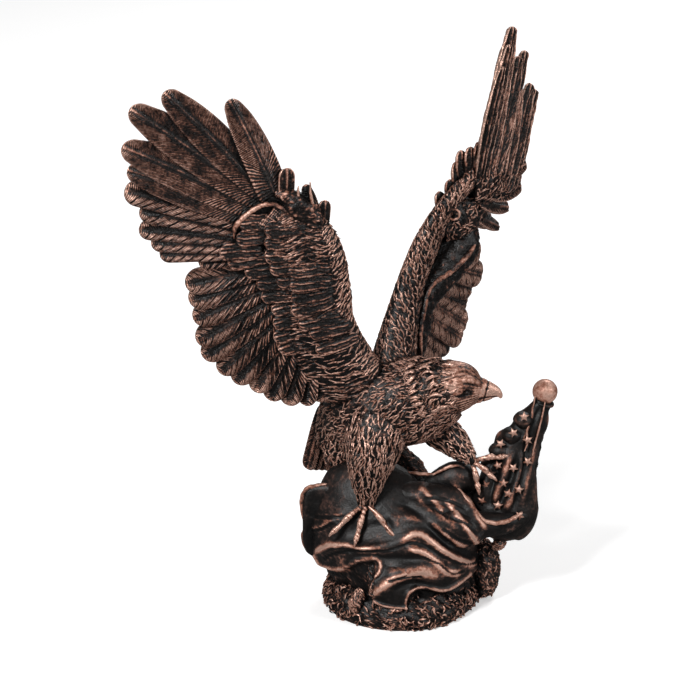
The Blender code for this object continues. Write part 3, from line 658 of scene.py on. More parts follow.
# %% Stars
STAR_VIEW = ((69.5, 114), (63, 104), (55, 97), (57, 72.5), (46, 71), (43.5, 61), (53.5, 58.5), (53.5, 83.5),
             (63, 82), (66.5, 68.5), (72, 99.5), (67, 52), (60, 66), (49.5, 78), (72, 86))
STARS_ON_LOBES = 3
STAR_SIZE = (3.3, 1.3, 3.3)
star = bmesh.new()
bmesh.ops.create_circle(star, cap_ends=True, radius=1.0, segments=10)
for number, vertex in enumerate(list(star.verts)):
    vertex.co *= 0.45 if number % 2 else 1.0
raised = bmesh.ops.extrude_face_region(star, geom=star.faces[:])
top = [item for item in raised["geom"] if isinstance(item, bmesh.types.BMVert)]
bmesh.ops.translate(star, verts=top, vec=(0, 0, 0.55))
bmesh.ops.poke(star, faces=[face for face in star.faces if all(vert in top for vert in face.verts)])
bmesh.ops.recalc_face_normals(star, faces=star.faces[:])
star_mesh = bpy.data.meshes.new("star")
star.to_mesh(star_mesh)
star.free()
shape = np.array([vertex.co[:] for vertex in star_mesh.vertices])
middle = np.linalg.norm(shape[:, :2], axis=1) < 0.01
shape[middle & (shape[:, 2] > 0.3), 2] = 0.95
wide, tall, thick = shape.T
for step, (x, height) in enumerate(STAR_VIEW):
    spot = at_depth(x, height, -9.5) if step < STARS_ON_LOBES else on_front(CANTON, x, height, 2.6)
    sine, cosine = math.sin(0.4 * step), math.cos(0.4 * step)
    flat = np.column_stack((wide * cosine - tall * sine, 0.4 - 1.6 * thick, wide * sine + tall * cosine))
    canton.stamp(star_mesh, flat * STAR_SIZE + spot, 0.36 + 0.22 * (thick > 0.3))
print(len(STAR_VIEW), "stars")

# %% [markdown]
# The eagle's body and its thighs are lofts, and tufts cover them: wavy ones that run back from the
# neck over the body, and strands that hang down the thighs.

# %% Body, thighs and their hackles
BODY = ((-55, 17, 96, 4, 4), (-47, 13, 108, 15, 14), (-34, 7, 121, 25, 25), (-15, -2, 131, 28, 28),
        (2, -7, 135, 25, 27), (14, -10, 140, 19, 22.5), (24, -12, 144, 15, 18), (31, -12.5, 144, 9, 12))
BODY_SIDE = (0.35, 0.94, 0.0)
NEAR_THIGH = ((-17, -1, 136, 8, 8), (-20, -11, 127, 18, 17), (-23, -19, 116, 18.5, 18),
              (-25, -24, 106, 16, 15), (-27, -26, 98, 13, 13), (-28, -28, 88, 9.5, 9),
              (-28.5, -28.5, 80, 6, 6), (-28.5, -28.5, 72, 4, 4))
FAR_THIGH = ((2, 6, 124, 11, 11), (14, 1, 114, 11, 11.5), (24, -4, 108, 9.5, 10), (31, -8, 102, 6.5, 7),
             (35.5, -11, 99, 4.2, 4.2), (37, -12.5, 94, 3, 3))


def down_the_back(spots, ahead):
    """Back from the neck, in waves."""
    sway = 0.8 * np.sin(spots[:, 0] / 5.0 + spots[:, 2] / 7.0) + 0.5 * np.sin(spots[:, 2] / 3.3)
    return -ahead + np.column_stack((0 * sway, 0 * sway, 0.45 * sway - 0.25))


eagle = Clay("eagle_body")
legs = Clay("eagle_legs")
loft(eagle, BODY, BODY_SIDE, 60, 60, crust, 0.22)
loft(legs, NEAR_THIGH, (1, 0, 0), 40, 40, crust, 0.20)
loft(legs, FAR_THIGH, (0, 1, 0), 32, 32, rub=0.12)
print(cover(eagle, BODY, BODY_SIDE, down_the_back, 6.0, 1.65, 2.6, 1.9, 0.02, 0.92, curl=2.0, thick=1.7,
            rub=0.36, wander=0.7, rings=6), "body tufts")
print(cover(legs, NEAR_THIGH, (1, 0, 0), lambda spots, ahead: ahead, 7.0, 1.7, 3.2, 1.6, 0.01, 0.88,
            curl=1.7, thick=1.7, rub=0.36, wander=0.45, rings=6), "near thigh tufts")
print(cover(legs, FAR_THIGH, (0, 1, 0), lambda spots, ahead: ahead, 5.5, 1.9, 3.0, 2.0, 0.05, 0.88,
            curl=1.9, thick=1.7, rub=0.42, wander=0.5), "far thigh tufts")

# %% [markdown]
# The head is nearly smooth, with fine strokes along the skull. The brow shades the eye, and the
# beak hooks over. Strokes and the mouth line are relief on the lofts. Big locks lie round the neck.

# %% Head
SKULL = ((10, -11, 145, 8, 9), (19, -12, 146, 13.5, 15.5), (27, -12.5, 145.5, 14, 16.5),
         (33.5, -13, 144, 11.5, 15), (39, -13.5, 142.3, 7.5, 10.2), (42, -13.8, 141, 4, 6.5))
BEAK = ((36, -13.5, 144.0, 5, 9), (42, -14, 144.1, 5.2, 8.3), (47, -14.3, 143.7, 4, 6.3),
        (51, -14.5, 143.0, 2.8, 4.2), (53.8, -14.6, 141.2, 1.5, 2.2), (54.8, -14.6, 139.0, 0.6, 0.7))
NECK = ((8, -9, 140, 22, 23), (15, -11, 143, 18.5, 20.5), (21, -12, 145, 15.5, 17.5), (26, -12.3, 145, 13, 15))
# Of brow and eye, the second number is the distance from the head's middle
HEAD_MIDDLE = -13
BROW = ((26, 10, 153, 1.5, 1.5), (33, 10.5, 155, 3, 2.2), (38.5, 8, 152.5, 2.4, 2.0), (41, 5, 150, 1, 1))
EYE = ((32, 11.6, 145.8, 0.6, 0.6), (33.4, 12.4, 146.6, 1.6, 1.5), (34.8, 11.6, 146.8, 0.6, 0.6))


def strokes(spots):
    """Fine strokes that run back over the skull, the hollow round each eye, and a groove under the brow with
    painted shade in it.
    """
    x, y, z = spots.T
    across = np.arctan2(z - 145, np.abs(y + 13) + 1e-6)
    wave = np.sin(across * 34 + 1.4 * np.sin(x / 3.0) + 0.9 * np.sin(z / 2.2))
    eye = bell(np.hypot(x - 33.5, (z - 146.6) * 1.2), 2.4)
    low = smooth_step(146, 140, z)
    # Painted shade under the brow: copper is taken from this band as if the brow cast a shadow, and the groove
    # is cut in as well.
    shade = bell(z - 144.4 - 0.09 * (x - 30), 1.5) * smooth_step(39, 35, x) * smooth_step(16, 22, x)
    crown = smooth_step(154, 159, z)
    return (0.07 * wave * (1 + 2.5 * low) - 0.6 * eye - 0.6 * shade,
            0.06 * wave * (1 + 2 * low) - 0.25 * eye - 0.26 * shade - 0.10 * low - 0.10 * crown)


def mouth(spots):
    x, y, z = spots.T
    line = bell(z - (140.4 + 0.06 * (x - 40) - 0.02 * (x - 46) ** 2), 0.5) * smooth_step(53.0, 51.5, x)
    cere = bell(x - 44.6 - 0.25 * (z - 142), 0.6)
    nostril = bell(np.hypot((x - 46.0) / 1.4, z - 146.4), 0.7)
    return -0.5 * line - 0.45 * cere - 0.6 * nostril, -0.5 * line - 0.35 * cere - 0.4 * nostril


head = Clay("eagle_head")
loft(head, SKULL, (0.1, 1, 0), 110, 70, strokes, 0.60)
loft(head, BEAK, (0, 1, 0), 60, 60, mouth, 0.60)
for cheek in (-1, 1):
    for form, sides, rings, rub in ((BROW, 24, 24, 0.56), (EYE, 16, 12, 0.25)):
        keys = [(x, HEAD_MIDDLE + cheek * apart, z, wide, deep) for x, apart, z, wide, deep in form]
        loft(head, keys, (0, 1, 0), sides, rings, rub=rub)
print(cover(head, NECK, BODY_SIDE, lambda spots, ahead: -ahead + (0, 0, -0.35), 9.5, 3.1, 4.4, 3.0, 0.0, 0.82,
            curl=3.4, thick=2.8, rub=0.56, wander=0.5, sink=0.2, rings=7), "neck locks")
tell(head)

# %% [markdown]
# Legs, toes and claws are short lofts from the ankle over a knuckle to a hooked end. Rings of
# scales go round the toes. The rump is a stump with tufts, and a row of stiff tail feathers hangs
# behind it.

# %% Toes and tail
TOE, CLAW = 3.5, 5.0
TOE_SIZES = (0.62, 0.44, 0.56, 0.40, 0.50, 0.30, 0.1)
RUMP = ((-41, 2, 113, 8, 8), (-44.5, 4, 104, 10, 9.5), (-45.5, 4, 94, 9.5, 9), (-44.5, 3, 86, 8, 7.5),
        (-42, 0, 79, 4, 4))
TAIL_ROOTS = ((-55, 13, 124), (-42, 16, 116))
TAIL_TIPS = ((-65.5, 20, 77.5), (-60, 22, 76.5), (-55, 24, 75.5), (-50, 25, 74), (-45, 25, 71))
TAIL_OUTLINE = (0.7, 0.9, 1.0, 1.0, 1.0, 0.98)


def scales(spots):
    wave = np.sin((spots[:, 0] + spots[:, 1] * 0.5 + spots[:, 2]) * 1.7 + np.sin(spots[:, 0] * 0.9))
    return 0.09 * wave, 0.10 * wave


def toes(clay, ankle, ends):
    ankle = np.asarray(ankle, float)
    for end in ends:
        end = np.asarray(end, float)
        away = (end - ankle) / np.linalg.norm(end - ankle)
        knuckle = (ankle + end) / 2 + (0.0, -1.0, 1.4)
        last = end - away * CLAW
        path = (ankle, (ankle + knuckle) / 2 + (0, -0.4, 0.2), knuckle, (knuckle + last) / 2 + (0, 0.4, -0.5),
                last, last + away * CLAW * 0.6, end + (0, 1.0, -1.2))
        keys = [(*spot, share * TOE, share * TOE) for spot, share in zip(path, TOE_SIZES)]
        loft(clay, keys, (0.2, 0, 1), 20, 56, scales, 0.62)


toes(legs, (-28.5, -29, 75), ((-52, -39, 57), (-36, -45, 53), (-11, -42, 57), (-30, -14, 76)))
toes(legs, (37.5, -12, 96), ((61, -10, 99), (53, -17, 85), (42, -20, 77)))
first, last = np.array(TAIL_ROOTS)
for share in np.linspace(0, 1, 7):
    feather(legs, first * (1 - share) + last * share, at_share(TAIL_TIPS, share), 10.5, (0.92, -0.35, 0.1),
            thick=3.2, sides=24, pitch=4.0, depth=0.25, tilt=0.2, slant=1.6, rub=-0.03, outline=TAIL_OUTLINE)
loft(legs, RUMP, (1, 0, 0), 30, 30, rub=0.12)
print(cover(legs, RUMP, (1, 0, 0), lambda spots, ahead: 0.5 * any_way(spots, ahead) + ahead, 6.0, 1.7, 2.8,
            1.9, curl=2.2, thick=1.8, rub=0.34, sink=0.4), "rump tufts")
tell(eagle)
tell(legs)

# %% [markdown]
# The near wing is spread flat. Its flight feathers start on one curve, and a list says where each
# ends. Those at the top are smooth leaves with a double line along the shaft. The lower ones and the
# secondaries are rows of small pillows, cut by deep slanting barbs.

# %% Near wing's flight feathers
UP = (0.0, 0.1, 1.0)
NEAR_SIDE = (0.97, 0.24, 0.0)
NEAR_PRIMARY_ROOTS = ((-83, -26, 270), (-88, -27, 266), (-92, -27, 256), (-92, -28, 246), (-90, -28, 238))
NEAR_PRIMARY_TIPS = ((-111.5, -30, 336), (-150, -38, 343), (-170, -45, 335), (-175, -49, 312.5),
                     (-172, -50, 298.5), (-174, -49, 285.5), (-165.5, -46, 271.5), (-166, -46, 260),
                     (-159, -44, 251), (-154, -42, 243))
NEAR_SECONDARY_ROOTS = ((-84, -27, 230), (-80, -26, 208), (-74, -24, 188), (-60, -20, 168))
NEAR_SECONDARY_TIPS = ((-139, -38, 222), (-137, -37, 211), (-134.5, -36, 198.5), (-132.5, -36, 184),
                       (-129, -35, 173.5), (-119, -34, 163), (-109.5, -32, 155.5), (-97.5, -29, 148.5),
                       (-88, -27, 142), (-77, -25, 138), (-66, -23, 137), (-56, -21, 139))
LEAF = {"outline": POINTED, "thick": 3.0, "pitch": 3.1, "depth": 0.10, "ragged": 1.0, "slant": 1.6,
        "shaft": 0.5, "rub": -0.10}
FIRST_LEAF = {**LEAF, "outline": WIDE_ROOT}
PILLOWS = {"thick": 3.6, "pitch": 7.0, "depth": 1.0, "ragged": 1.2, "slant": 1.5, "pillow": 1.0, "shaft": -0.3,
           "rub": -0.03}
SMALL_PILLOWS = {"thick": 3.2, "pitch": 6.0, "depth": 1.0, "pillow": 0.9, "shaft": -0.3}


def feather_row(clay, roots, tips, widths, side, kinds=({},), **same):
    """Feathers from a curve of roots to a list of tips; the last of the kinds is used to the end."""
    last = len(tips) - 1
    for step, tip in enumerate(tips):
        width = at_share([(width,) for width in widths], step / last)[0]
        kind = kinds[min(step, len(kinds) - 1)]
        feather(clay, at_share(roots, step / last), tip, width, side, **kind, **same)


near = Clay("near_wing_feathers")
feather_row(near, NEAR_PRIMARY_ROOTS, NEAR_PRIMARY_TIPS, (20, 24, 23.5, 16, 14, 13), UP,
            (FIRST_LEAF, LEAF, LEAF, LEAF, LEAF, PILLOWS), bow=1.5)
feather_row(near, NEAR_SECONDARY_ROOTS, NEAR_SECONDARY_TIPS, (17, 15), UP, (SMALL_PILLOWS,), ragged=1.3,
            slant=1.8, rub=-0.02)
feather(near, (-92, -27, 239), (-131, -35, 235), 13.0, UP, slant=1.6, rub=-0.04, **SMALL_PILLOWS)
tell(near)

# %% [markdown]
# Blunt coverts lie over the arm in upright rows that end in a step, and strands run along them.
# A rolled rim arches over their upper end. Above it stand two stubs and a plate with two raised
# edges, and five narrow feathers fan out below them.

# %% Near wing's coverts
NEAR_COVERT_ENDS = ((-106, -35, 259), (-108, -36, 250), (-118, -38, 242), (-113, -37, 235),
                    (-103, -35, 229), (-96, -34, 221), (-93, -33, 212), (-87, -32, 203), (-86, -32, 194),
                    (-86, -31, 185), (-83, -30, 177), (-91, -35, 255), (-91, -35, 247), (-91, -35, 239),
                    (-88, -35, 231), (-84, -34, 223), (-77, -34, 229), (-76, -34, 220), (-75, -33, 211),
                    (-75, -33, 203), (-71, -32, 194), (-64, -32, 188), (-60, -30, 176))
NEAR_RIM = ((-109, -35, 250), (-108, -36, 258), (-100, -34, 266), (-91, -32, 270.5), (-83, -31, 269.5),
            (-75, -30, 263), (-66, -29, 252), (-58, -28, 244))
NEAR_STUBS = (((-78, -25, 261), (-77, -26, 292), 10.5), ((-56, -22, 246), (-54, -21, 270), 8.0))
NEAR_PLATE = ((-57, -24, 242), (-66, -27, 282), 11.0)
PLATE_EDGES = (((-58, -27, 246), (-66, -29, 262), (-70, -30, 275), (-70, -30, 282)),
               ((-57, -27, 246), (-60, -28, 262), (-62.5, -29, 275), (-63, -29, 284)))
HAND = ((-68, -22, 226, 10, 3), (-82, -25, 238, 22, 3.5), (-88, -26, 252, 22, 3.5), (-86, -26, 266, 14, 3),
        (-84, -26, 274, 6, 2))
BRIDGE = ((-84, -25, 274, 4, 4), (-78, -26, 273, 7, 5), (-71, -27, 268, 8, 7), (-63, -26, 261, 8, 6),
          (-57, -25, 253, 5, 4))

arm = Clay("near_wing_arm")
for x, y, z in NEAR_COVERT_ENDS:
    rise = 3 - 0.08 * (z - 215) + chance.uniform(-2.0, 2.0)
    feather(arm, (x + 27, y + 5, z + rise), (x, y - 0.5, z), chance.uniform(9.5, 12.0), UP, sides=28,
            thick=3.8, depth=0.0, strands=0.45, shaft=0.0, slant=0.3, rub=-0.10, tilt=0.14, fine=0.0)
cord(arm, NEAR_RIM, 3.2, rings=90, rub=0.48, uneven=0.06, ends=0.3)
for root, tip, width in NEAR_STUBS:
    feather(arm, root, tip, width, NEAR_SIDE, pitch=4.0, depth=0.1, sides=24, thick=4.2, rub=-0.1, rim=0.7,
            fine=0.0)
feather(arm, *NEAR_PLATE, NEAR_SIDE, pitch=4.0, depth=0.0, sides=24, thick=3.0, rub=-0.2, shaft=0.0,
        outline=WIDE_ROOT)
loft(arm, HAND, NEAR_SIDE, 40, 40, rub=0.10)
for edge in PLATE_EDGES:
    cord(arm, edge, 2.0, rings=40, rub=0.6, ends=0.25)
for step in range(5):
    root = np.array((-60, -26, 243)) + step / 4 * np.array((-3, -2, -4))
    tip = np.array((-86, -32, 268)) + step / 4 * np.array((-8, -2, -8))
    feather(arm, root, tip, 5.0, UP, sides=20, thick=4.5, depth=0.1, strands=0.35, rub=-0.02, shaft=0.3)
tell(arm)

# %% [markdown]
# Thin wavy hackles cover the rest of the arm and the back of the hand. Along the leading edge they
# are shorter and were brushed harder.

# %% Near wing's arm
NEAR_ARM = ((-30, -6, 146, 19, 13), (-45, -14, 158, 23, 12), (-57, -21, 186, 22, 9),
            (-60.2, -23, 206, 22.8, 8), (-63.7, -25, 227, 23.4, 7), (-68.2, -27, 243, 21.8, 6),
            (-73.8, -28, 255, 17.2, 5), (-78, -28, 262, 10, 4), (-80, -27, 266, 4, 2.5))


def to_the_left(spots, ahead):
    sway = 0.30 * np.sin(spots[:, 0] / 4.0 + spots[:, 2] / 11.0)
    return np.column_stack((-1.0 + 0 * sway, -0.24 + 0 * sway, sway - 0.10))


def down_the_edge(spots, ahead):
    sway = 0.4 * np.sin(spots[:, 2] / 3.0)
    return np.column_stack((-0.75 + sway, -0.2 + 0 * sway, -0.65 + 0 * sway))


print(cover(arm, HAND, NEAR_SIDE, lambda spots, ahead: ahead + (-1.4, 0.0, 0.2), 7.0, 1.8, 3.4, 2.2,
            keep=lambda spots, out: out[:, 1] > 0.3, curl=1.6, thick=1.6, rub=0.30, wander=0.3,
            sink=0.4), "back tufts")
loft(arm, BRIDGE, (0, 0, 1), 40, 40, crust, 0.28)
loft(arm, NEAR_ARM, NEAR_SIDE, 60, 70, rub=0.10)
print(cover(arm, NEAR_ARM, NEAR_SIDE, to_the_left, 9.0, 1.7, 1.8, 4.4, 0.04, 0.94,
            keep=lambda spots, out: out[:, 0] < 0.45, curl=1.5, thick=1.6, rub=0.23,
            wander=0.2), "arm tufts")
print(cover(arm, NEAR_ARM, NEAR_SIDE, down_the_edge, 5.5, 1.6, 2.3, 2.3, 0.04, 0.97,
            keep=lambda spots, out: out[:, 0] >= 0.45, curl=1.2, thick=1.6, rub=0.40, wander=0.3,
            sink=0.6), "edge tufts")
tell(arm)

# %% [markdown]
# The far wing is seen almost edge-on. It is the same kind of wing: an arm with small spiky scales,
# nine broad secondaries toward +Y behind a dark channel with a rolled rim, and a tight bundle of long
# pointed primaries. Short thumb feathers stand on its leading edge, and a small curl on its wrist.

# %% Far wing
FAR_SIDE = (0.50, 0.86, 0.0)
FAR_ARM = ((-13, 6, 148, 16, 14), (-8.5, 15, 170, 15, 10.5), (-1.0, 24, 200, 12, 7.5), (7, 31, 220, 12.5, 7),
           (15.8, 37, 237, 12, 5.5), (26, 43, 251, 9, 5), (35, 48, 260, 8, 4.5), (40, 52, 266, 5, 3.5))
# Root, tip and width of each feather
FAR_BLADES = (((43, 47, 272), (55.5, 50, 334), 9), ((44, 50, 268), (58.5, 58, 346), 11),
              ((48, 53, 264), (63.5, 68, 354), 15), ((51, 57, 262), (66.5, 76, 333), 14),
              ((55, 61, 260), (69.5, 83, 335), 13), ((58, 65, 258), (69, 90, 312), 14),
              ((62, 70, 256), (75.5, 102, 308), 13), ((65, 76, 254), (77.5, 105, 303), 12),
              ((65, 78, 252), (76.5, 108, 284), 9))
FAR_COVERTS = (((49, 55, 258), (73, 85, 260), 13.0), ((46, 52, 250), (70, 86, 245), 15.0),
               ((42, 50, 245), (62, 84, 231), 11.0), ((38, 48, 238), (56, 80, 219), 9.5),
               ((40, 52, 246), (58, 100, 232), 14.0), ((34, 50, 238), (52, 98, 218), 15.0))
FAR_CHANNEL = ((2, 23, 152, 5, 8), (3, 27, 168, 8, 9.5), (5, 31.5, 184, 9, 10), (11, 38, 196, 12, 10),
               (20, 45, 207, 14, 9.5), (28, 52, 219, 15, 8.5), (32, 57, 229, 10, 7))
FAR_HAND = ((38, 48, 256, 9, 5), (49, 58, 256, 13, 5), (60, 72, 253, 10, 4.5), (67, 84, 251, 4, 3))
FAR_ELBOW = ((18, 42, 230, 8, 6), (28, 46, 235, 12, 6.5), (38, 54, 239, 12, 5.5), (47, 64, 243, 6, 4))
FAR_SECONDARY_ROOTS = ((22, 54, 218), (14, 48, 200), (6, 40, 182), (0, 32, 164))
FAR_SECONDARY_TIPS = ((43, 96, 206), (44.5, 98, 195), (46, 100, 180), (39.5, 97, 172), (36, 95, 162),
                      (36, 90, 150), (33, 85, 142), (25, 79, 138), (20, 72, 135))
FAR_RIM = ((6, 14, 156), (5.2, 17, 168.4), (5.8, 19, 176.2), (7.7, 21, 185.4), (9.6, 25, 193.8),
           (14.5, 29, 199.7), (23.8, 34, 204.5), (30.6, 38, 209.6), (36.5, 43, 214.5), (40, 47, 219))
FAR_THUMB = (((31, 46, 266), (30, 46, 281)), ((36, 47, 268), (36, 47, 283)), ((41, 49, 270), (42, 49, 286)),
             ((29, 45, 258), (27, 45, 274)), ((25, 43, 250), (23, 43, 263)), ((20, 40, 242), (16, 40, 256)))
FAR_CURL = ((26, 36, 246), (29, 36, 243.5), (28.5, 36, 240), (25, 36, 239), (22.5, 36, 241.5), (24, 36, 245),
            (26.5, 36, 245))


def stretched(root, tip, more):
    """The root, moved back by a share of the feather's length, so that it starts inside the wing."""
    return np.asarray(root, float) * (1 + more) - np.asarray(tip, float) * more


far = Clay("far_wing")
for step, (root, tip, width) in enumerate(FAR_BLADES):
    side = (0.80 - 0.10 * math.sin(1.7 * step), 0.52, -0.28)
    feather(far, stretched(root, tip, 0.18), tip, width, side, pitch=6.0, depth=0.3, slant=2.0, ragged=2.2,
            outline=SPEAR, thick=3.0, rim=1.0, rub=0.06, curl=2.5 * math.sin(2.1 * step),
            bow=1.5 * math.sin(2.6 * step) - 1.0, sides=28, strands=0.35, fine=0.3)
for keys in (FAR_HAND, FAR_ELBOW):
    loft(far, keys, (0, 0, 1), 40, 40, crust, 0.12)
    cover(far, keys, (0, 0, 1), lambda spots, ahead: any_way(spots, ahead) + (1.0, 0.3, 0.4), 5.0, 1.6, 2.9,
          2.5, thick=1.5, curl=1.6, rub=0.30)
loft(far, FAR_CHANNEL, (1, 0, 0), 50, 60, crust, 0.10)
for root, tip, width in FAR_COVERTS:
    feather(far, root, tip, width, (-0.35, 0.1, 0.95), pitch=4.0, depth=0.4, slant=1.5, outline=POINTED,
            thick=3.2, rim=0.5, sides=28)
feather_row(far, FAR_SECONDARY_ROOTS, FAR_SECONDARY_TIPS, (19, 17), (0.05, 0.25, 0.95), pitch=4.0, depth=0.4,
            rub=0.08, slant=1.3, pillow=1.2, thick=5.0, rim=0.2, ragged=1.4, sides=28, step=1.6, shaft=0.2)
cord(far, FAR_RIM, 3.2, rings=110, rub=0.46, uneven=0.04, ends=0.4)
cord(far, FAR_CURL, 1.8, rings=50, rub=0.5)
for root, tip in FAR_THUMB:
    feather(far, stretched(root, tip, 0.5), tip, 9.5, (0.85, 0.5, 0.0), depth=0.0, sides=20, outline=POINTED,
            thick=3.4, rim=0.5, rub=-0.06, strands=0.3, fine=0.0, shaft=0.0)
loft(far, FAR_ARM, FAR_SIDE, 48, 60, rub=0.10)


def spiky(spots, ahead):
    """Up along the arm, and outward where the leading edge is."""
    front = np.interp(spots[:, 2], (148, 200, 265), (3, -20, -62))
    edge = smooth_step(-4, 4, spots @ (-0.5, -0.86, 0.0) - front)
    return ahead + (0.05, 0.2, 0.0) + edge[:, None] * (-0.8, -0.2, 0.1)


print(cover(far, FAR_ARM, FAR_SIDE, spiky, 5.6, 1.75, 2.75, 2.0, 0.03, 0.97, curl=2.2, thick=1.8, rub=0.30,
            wander=0.5, sink=0.35), "scales")
tell(far)

# %% [markdown]
# The casting is painted near-black and then an almost dry brush of copper is dragged over it, so the copper
# stays on what stands out. Where the surface is crowded in, painted shade darkens it, as occlusion would. So
# every point gets two measures: how sharply the net bends out there, and how full the space before it is.
# A point that would lie under the ground is pressed up to it, because the casting stands flat.

# %% Painted shade in crowded hollows, and where the brush touches
# The crowding is read this far before a point, in mm. It counts from the usual value of open places.
READ_AHEAD, USUAL_CROWD = 3.0, 0.24
# What the painted shade takes from a crowded point, and what the brush adds to a sharp one
CROWD_SHADE, BRUSH = 1.1, 0.16
PRESSED = 0.01


def as_mesh(clay):
    mesh = bpy.data.meshes.new(clay.name)
    clay.net.to_mesh(mesh)
    clay.net.free()
    spots = np.concatenate(clay.spots) * MM
    spots[:, 2] = np.where(spots[:, 2] < 0, PRESSED * spots[:, 2], spots[:, 2])
    mesh.vertices.foreach_set("co", spots.ravel())
    mesh.update()
    net = bmesh.new()
    net.from_mesh(mesh)
    bmesh.ops.recalc_face_normals(net, faces=net.faces[:])
    for face in net.faces:
        face.smooth = True
    net.to_mesh(mesh)
    net.free()
    return mesh


def read(of, count, name):
    """All values of one property, a row for each vertex or edge."""
    store = np.empty(len(of) * count, np.float32 if name != "vertices" else np.int32)
    of.foreach_get(name, store)
    return store.reshape(-1, count)


def sharpness(mesh):
    """How sharply the net bends out at each point, in 1/mm."""
    spots = read(mesh.vertices, 3, "co") / MM
    normals = read(mesh.vertex_normals, 3, "vector")
    ends = read(mesh.edges, 2, "vertices")
    total, count = np.zeros(len(spots)), np.zeros(len(spots))
    for first, second in ((ends[:, 0], ends[:, 1]), (ends[:, 1], ends[:, 0])):
        apart = spots[first] - spots[second]
        bent = 2 * np.sum(apart * normals[first], axis=1) / np.maximum(np.sum(apart ** 2, axis=1), 0.05)
        np.add.at(total, first, bent)
        np.add.at(count, first, 1)
    return total / np.maximum(count, 1)


class Crowd:
    """A coarse grid that knows how full the space is near any spot; its measures are in mm."""
    CELL = 1.25
    MARGIN = 14

    def __init__(self, spots):
        self.low = spots.min(axis=0) - self.MARGIN
        shape = ((spots.max(axis=0) + self.MARGIN - self.low) / self.CELL).astype(int) + 2
        full = np.zeros(shape, np.float32)
        full[tuple(((spots - self.low) / self.CELL).astype(int).T)] = 1.0
        for axis in (0, 1, 2, 0, 1, 2):
            full = sum(np.roll(full, shift, axis) for shift in (-2, -1, 0, 1, 2)) / 5
        self.full = full

    def near(self, spots):
        at = (spots - self.low) / self.CELL - 0.5
        cell = np.floor(at).astype(int)
        part = at - cell
        total = np.zeros(len(spots))
        for x in (0, 1):
            for y in (0, 1):
                for z in (0, 1):
                    share = np.prod(np.where((x, y, z), part, 1 - part), axis=1)
                    total += share * self.full[cell[:, 0] + x, cell[:, 1] + y, cell[:, 2] + z]
        return total


clays = (rock, flag, canton, eagle, legs, head, near, arm, far)
meshes = [as_mesh(clay) for clay in clays]
crowd = Crowd(np.concatenate([read(mesh.vertices, 3, "co") / MM for mesh in meshes]))
for clay, mesh in zip(clays, meshes):
    spots = read(mesh.vertices, 3, "co") / MM
    normals = read(mesh.vertex_normals, 3, "vector")
    packed = crowd.near(spots + normals * READ_AHEAD)
    bent = sharpness(mesh)
    # Painted shade: copper is taken where the space before a point is crowded, as occlusion in a hollow would
    # darken it; the brush's copper is added on sharp bends.
    rub = np.concatenate(clay.rub) + BRUSH * np.clip(bent, -1.0, 1.6) - CROWD_SHADE * (packed - USUAL_CROWD)
    values = {"rub": np.clip(rub, 0.0, 1.0), "line": np.concatenate(clay.line),
              "fine": np.concatenate(clay.fine)}
    for name, value in values.items():
        mesh.attributes.new(name, "FLOAT", "POINT").data.foreach_set("value", value.astype(np.float32))
    print(clay.name, len(mesh.polygons), "faces; low, middle and high",
          {name: np.percentile(value, (5, 50, 95)).round(2).tolist()
           for name, value in (("crowding", packed), ("bend", bent), ("rub", rub))})

# %% [markdown]
# One recipe makes all three finishes. The dark coat is glossy and does not act as metal, and the
# copper is a metal paint, so the amount of copper drives colour, metal and roughness together.
# Feathers add fine lines and have the strongest grain, the cloth is the smoothest, and the rock
# lies between.

# %% Finishes
def dial(made, **sockets):
    """Set constants on a node's sockets; an underscore stands for a space."""
    for name, value in sockets.items():
        made.inputs[name.replace("_", " ")].default_value = value
    return made


def node(tree, kind, **sockets):
    return dial(tree.nodes.new(kind), **sockets)


def sum_of(tree, kind, first, second, third=None):
    """One step of arithmetic; each value is a number or the output of a node."""
    made = tree.nodes.new("ShaderNodeMath")
    made.operation = kind
    for slot, value in enumerate((first, second, third)):
        if isinstance(value, (int, float)):
            made.inputs[slot].default_value = value
        elif value is not None:
            tree.links.new(value, made.inputs[slot])
    return made.outputs[0]


# Amount of copper, with the painted shade taken out, and the colour it gives, from the bare dark coat to full
# copper
COAT = ((0.20, (0.0030, 0.0026, 0.0026)), (0.42, (0.009, 0.006, 0.0052)), (0.54, (0.050, 0.025, 0.019)),
        (0.66, (0.27, 0.110, 0.070)), (0.86, (0.76, 0.47, 0.37)))
# Distance of the feathers' fine lines in mm, and how much the cloudy patches of copper differ
LINE_PITCH = 1.5
PATCHY = 0.80


